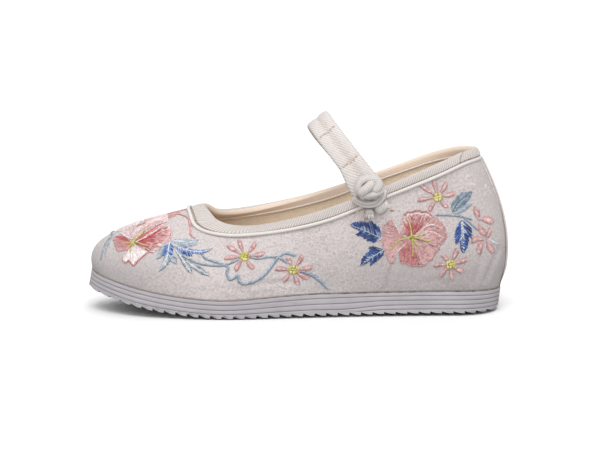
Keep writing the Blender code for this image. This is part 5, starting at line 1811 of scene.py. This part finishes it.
def frayEnds():
    # loose yarn at the cord's cut ends, and the tan thread that sews them down
    for key in ("legLower", "legRear"):
        route = np.array(knot[key])
        end, ahead = route[-1], unit(route[-1] - route[-2])
        side = unit(np.cross(ahead, np.array([0.0, -1.0, 0.0])))
        for _ in range(frays["count"]):
            spread, back = dice.uniform(-frays["spread"], frays["spread"]), dice.uniform(-2.6, -0.4)
            start = end + ahead * back + side * spread * 0.8 + np.array([0, -1.6 - dice.uniform(0, 0.5), 0])
            tip = end + ahead * dice.uniform(0.2, 1.9) + side * spread * 1.25
            tip = tip + np.array([0, -0.3 - dice.uniform(0, 1.2), 0])
            stitch("knot_frays", start, tip, tone("white"), width=0.3, lift=0.1)
    for a, b in frays["tacks"]:
        stitch("knot_tacks", flatOf(*a), flatOf(*b), tone("tan"), width=0.62, lift=0.5)


sewToeFlower()
sewStrapBars()
tapeSeam = seamLine()
sewTapeSeam()
frayEnds()
for mirror in (np.array([1, 1]), np.array([-1, 1])):
    sewToeLeaves(mirror)
    sewVine(mirror)
    sewHeelSpray(mirror)
    sewSelfTones(mirror)
silk = threadMaterial()
surfaces = {"strap_stitches": (strapAt, "strap"), "tape_stitches": (seamAt, "collar_binding"),
            "knot_frays": (frayAt, "knot_button")}
for name, stitches in threads.items():
    surface, slot = surfaces.get(name, (clothAt, "upper"))
    finishPiece(threadMesh(name, stitches, surface), slot, (silk,))
    print(name, len(stitches), "stitches")


# floor and light
studio = {"floor": 12.0, "sky": 0.42, "bounce": 0.4, "lights": {  # strength, spread, where from
    "top_front": (1.48, 40.0, (0.0, -0.6, 1.0)), "back_soft": (0.75, 60.0, (0.1, 1.0, 0.8)),
    "left_soft": (0.38, 50.0, (-1.0, -0.3, 0.75)), "right_soft": (0.26, 50.0, (1.0, -0.2, 0.6)),
    "front_soft": (1.32, 50.0, (0.0, -1.0, 0.25))}}


def makeStudio():
    bm = bmesh.new()
    bmesh.ops.create_grid(bm, x_segments=1, y_segments=1, size=studio["floor"])
    floor = meshObject("studio_floor", bm, False)
    material, tree, shader = startMaterial("floor_paper", 0.75)
    # the paper looks white but throws back less, as a dark table under it would
    seen = tree.nodes.new("ShaderNodeLightPath").outputs["Is Camera Ray"]
    paper = mixColour(tree, seen, (studio["bounce"],) * 3, srgb(255, 255, 255))
    tree.links.new(paper, shader.inputs["Base Color"])
    floor.data.materials.append(material)
    world = bpy.data.worlds.new("studio_sky")
    bpy.context.scene.world = world
    world.use_nodes = True
    sky = world.node_tree.nodes["Background"]
    setInputs(sky, {"Color": (1, 1, 1, 1), "Strength": studio["sky"]})
    for name, (strength, spread, place) in studio["lights"].items():
        data = bpy.data.lights.new(name, "SUN")
        data.energy = strength
        data.angle = math.radians(spread)
        light = bpy.data.objects.new(name, data)
        light.rotation_euler = Vector(place).to_track_quat("Z", "Y").to_euler()
        bpy.context.scene.collection.objects.link(light)
    bpy.context.scene.view_settings.view_transform = "Standard"
    bpy.context.scene.view_settings.look = "None"


makeStudio()

print("scene finished")
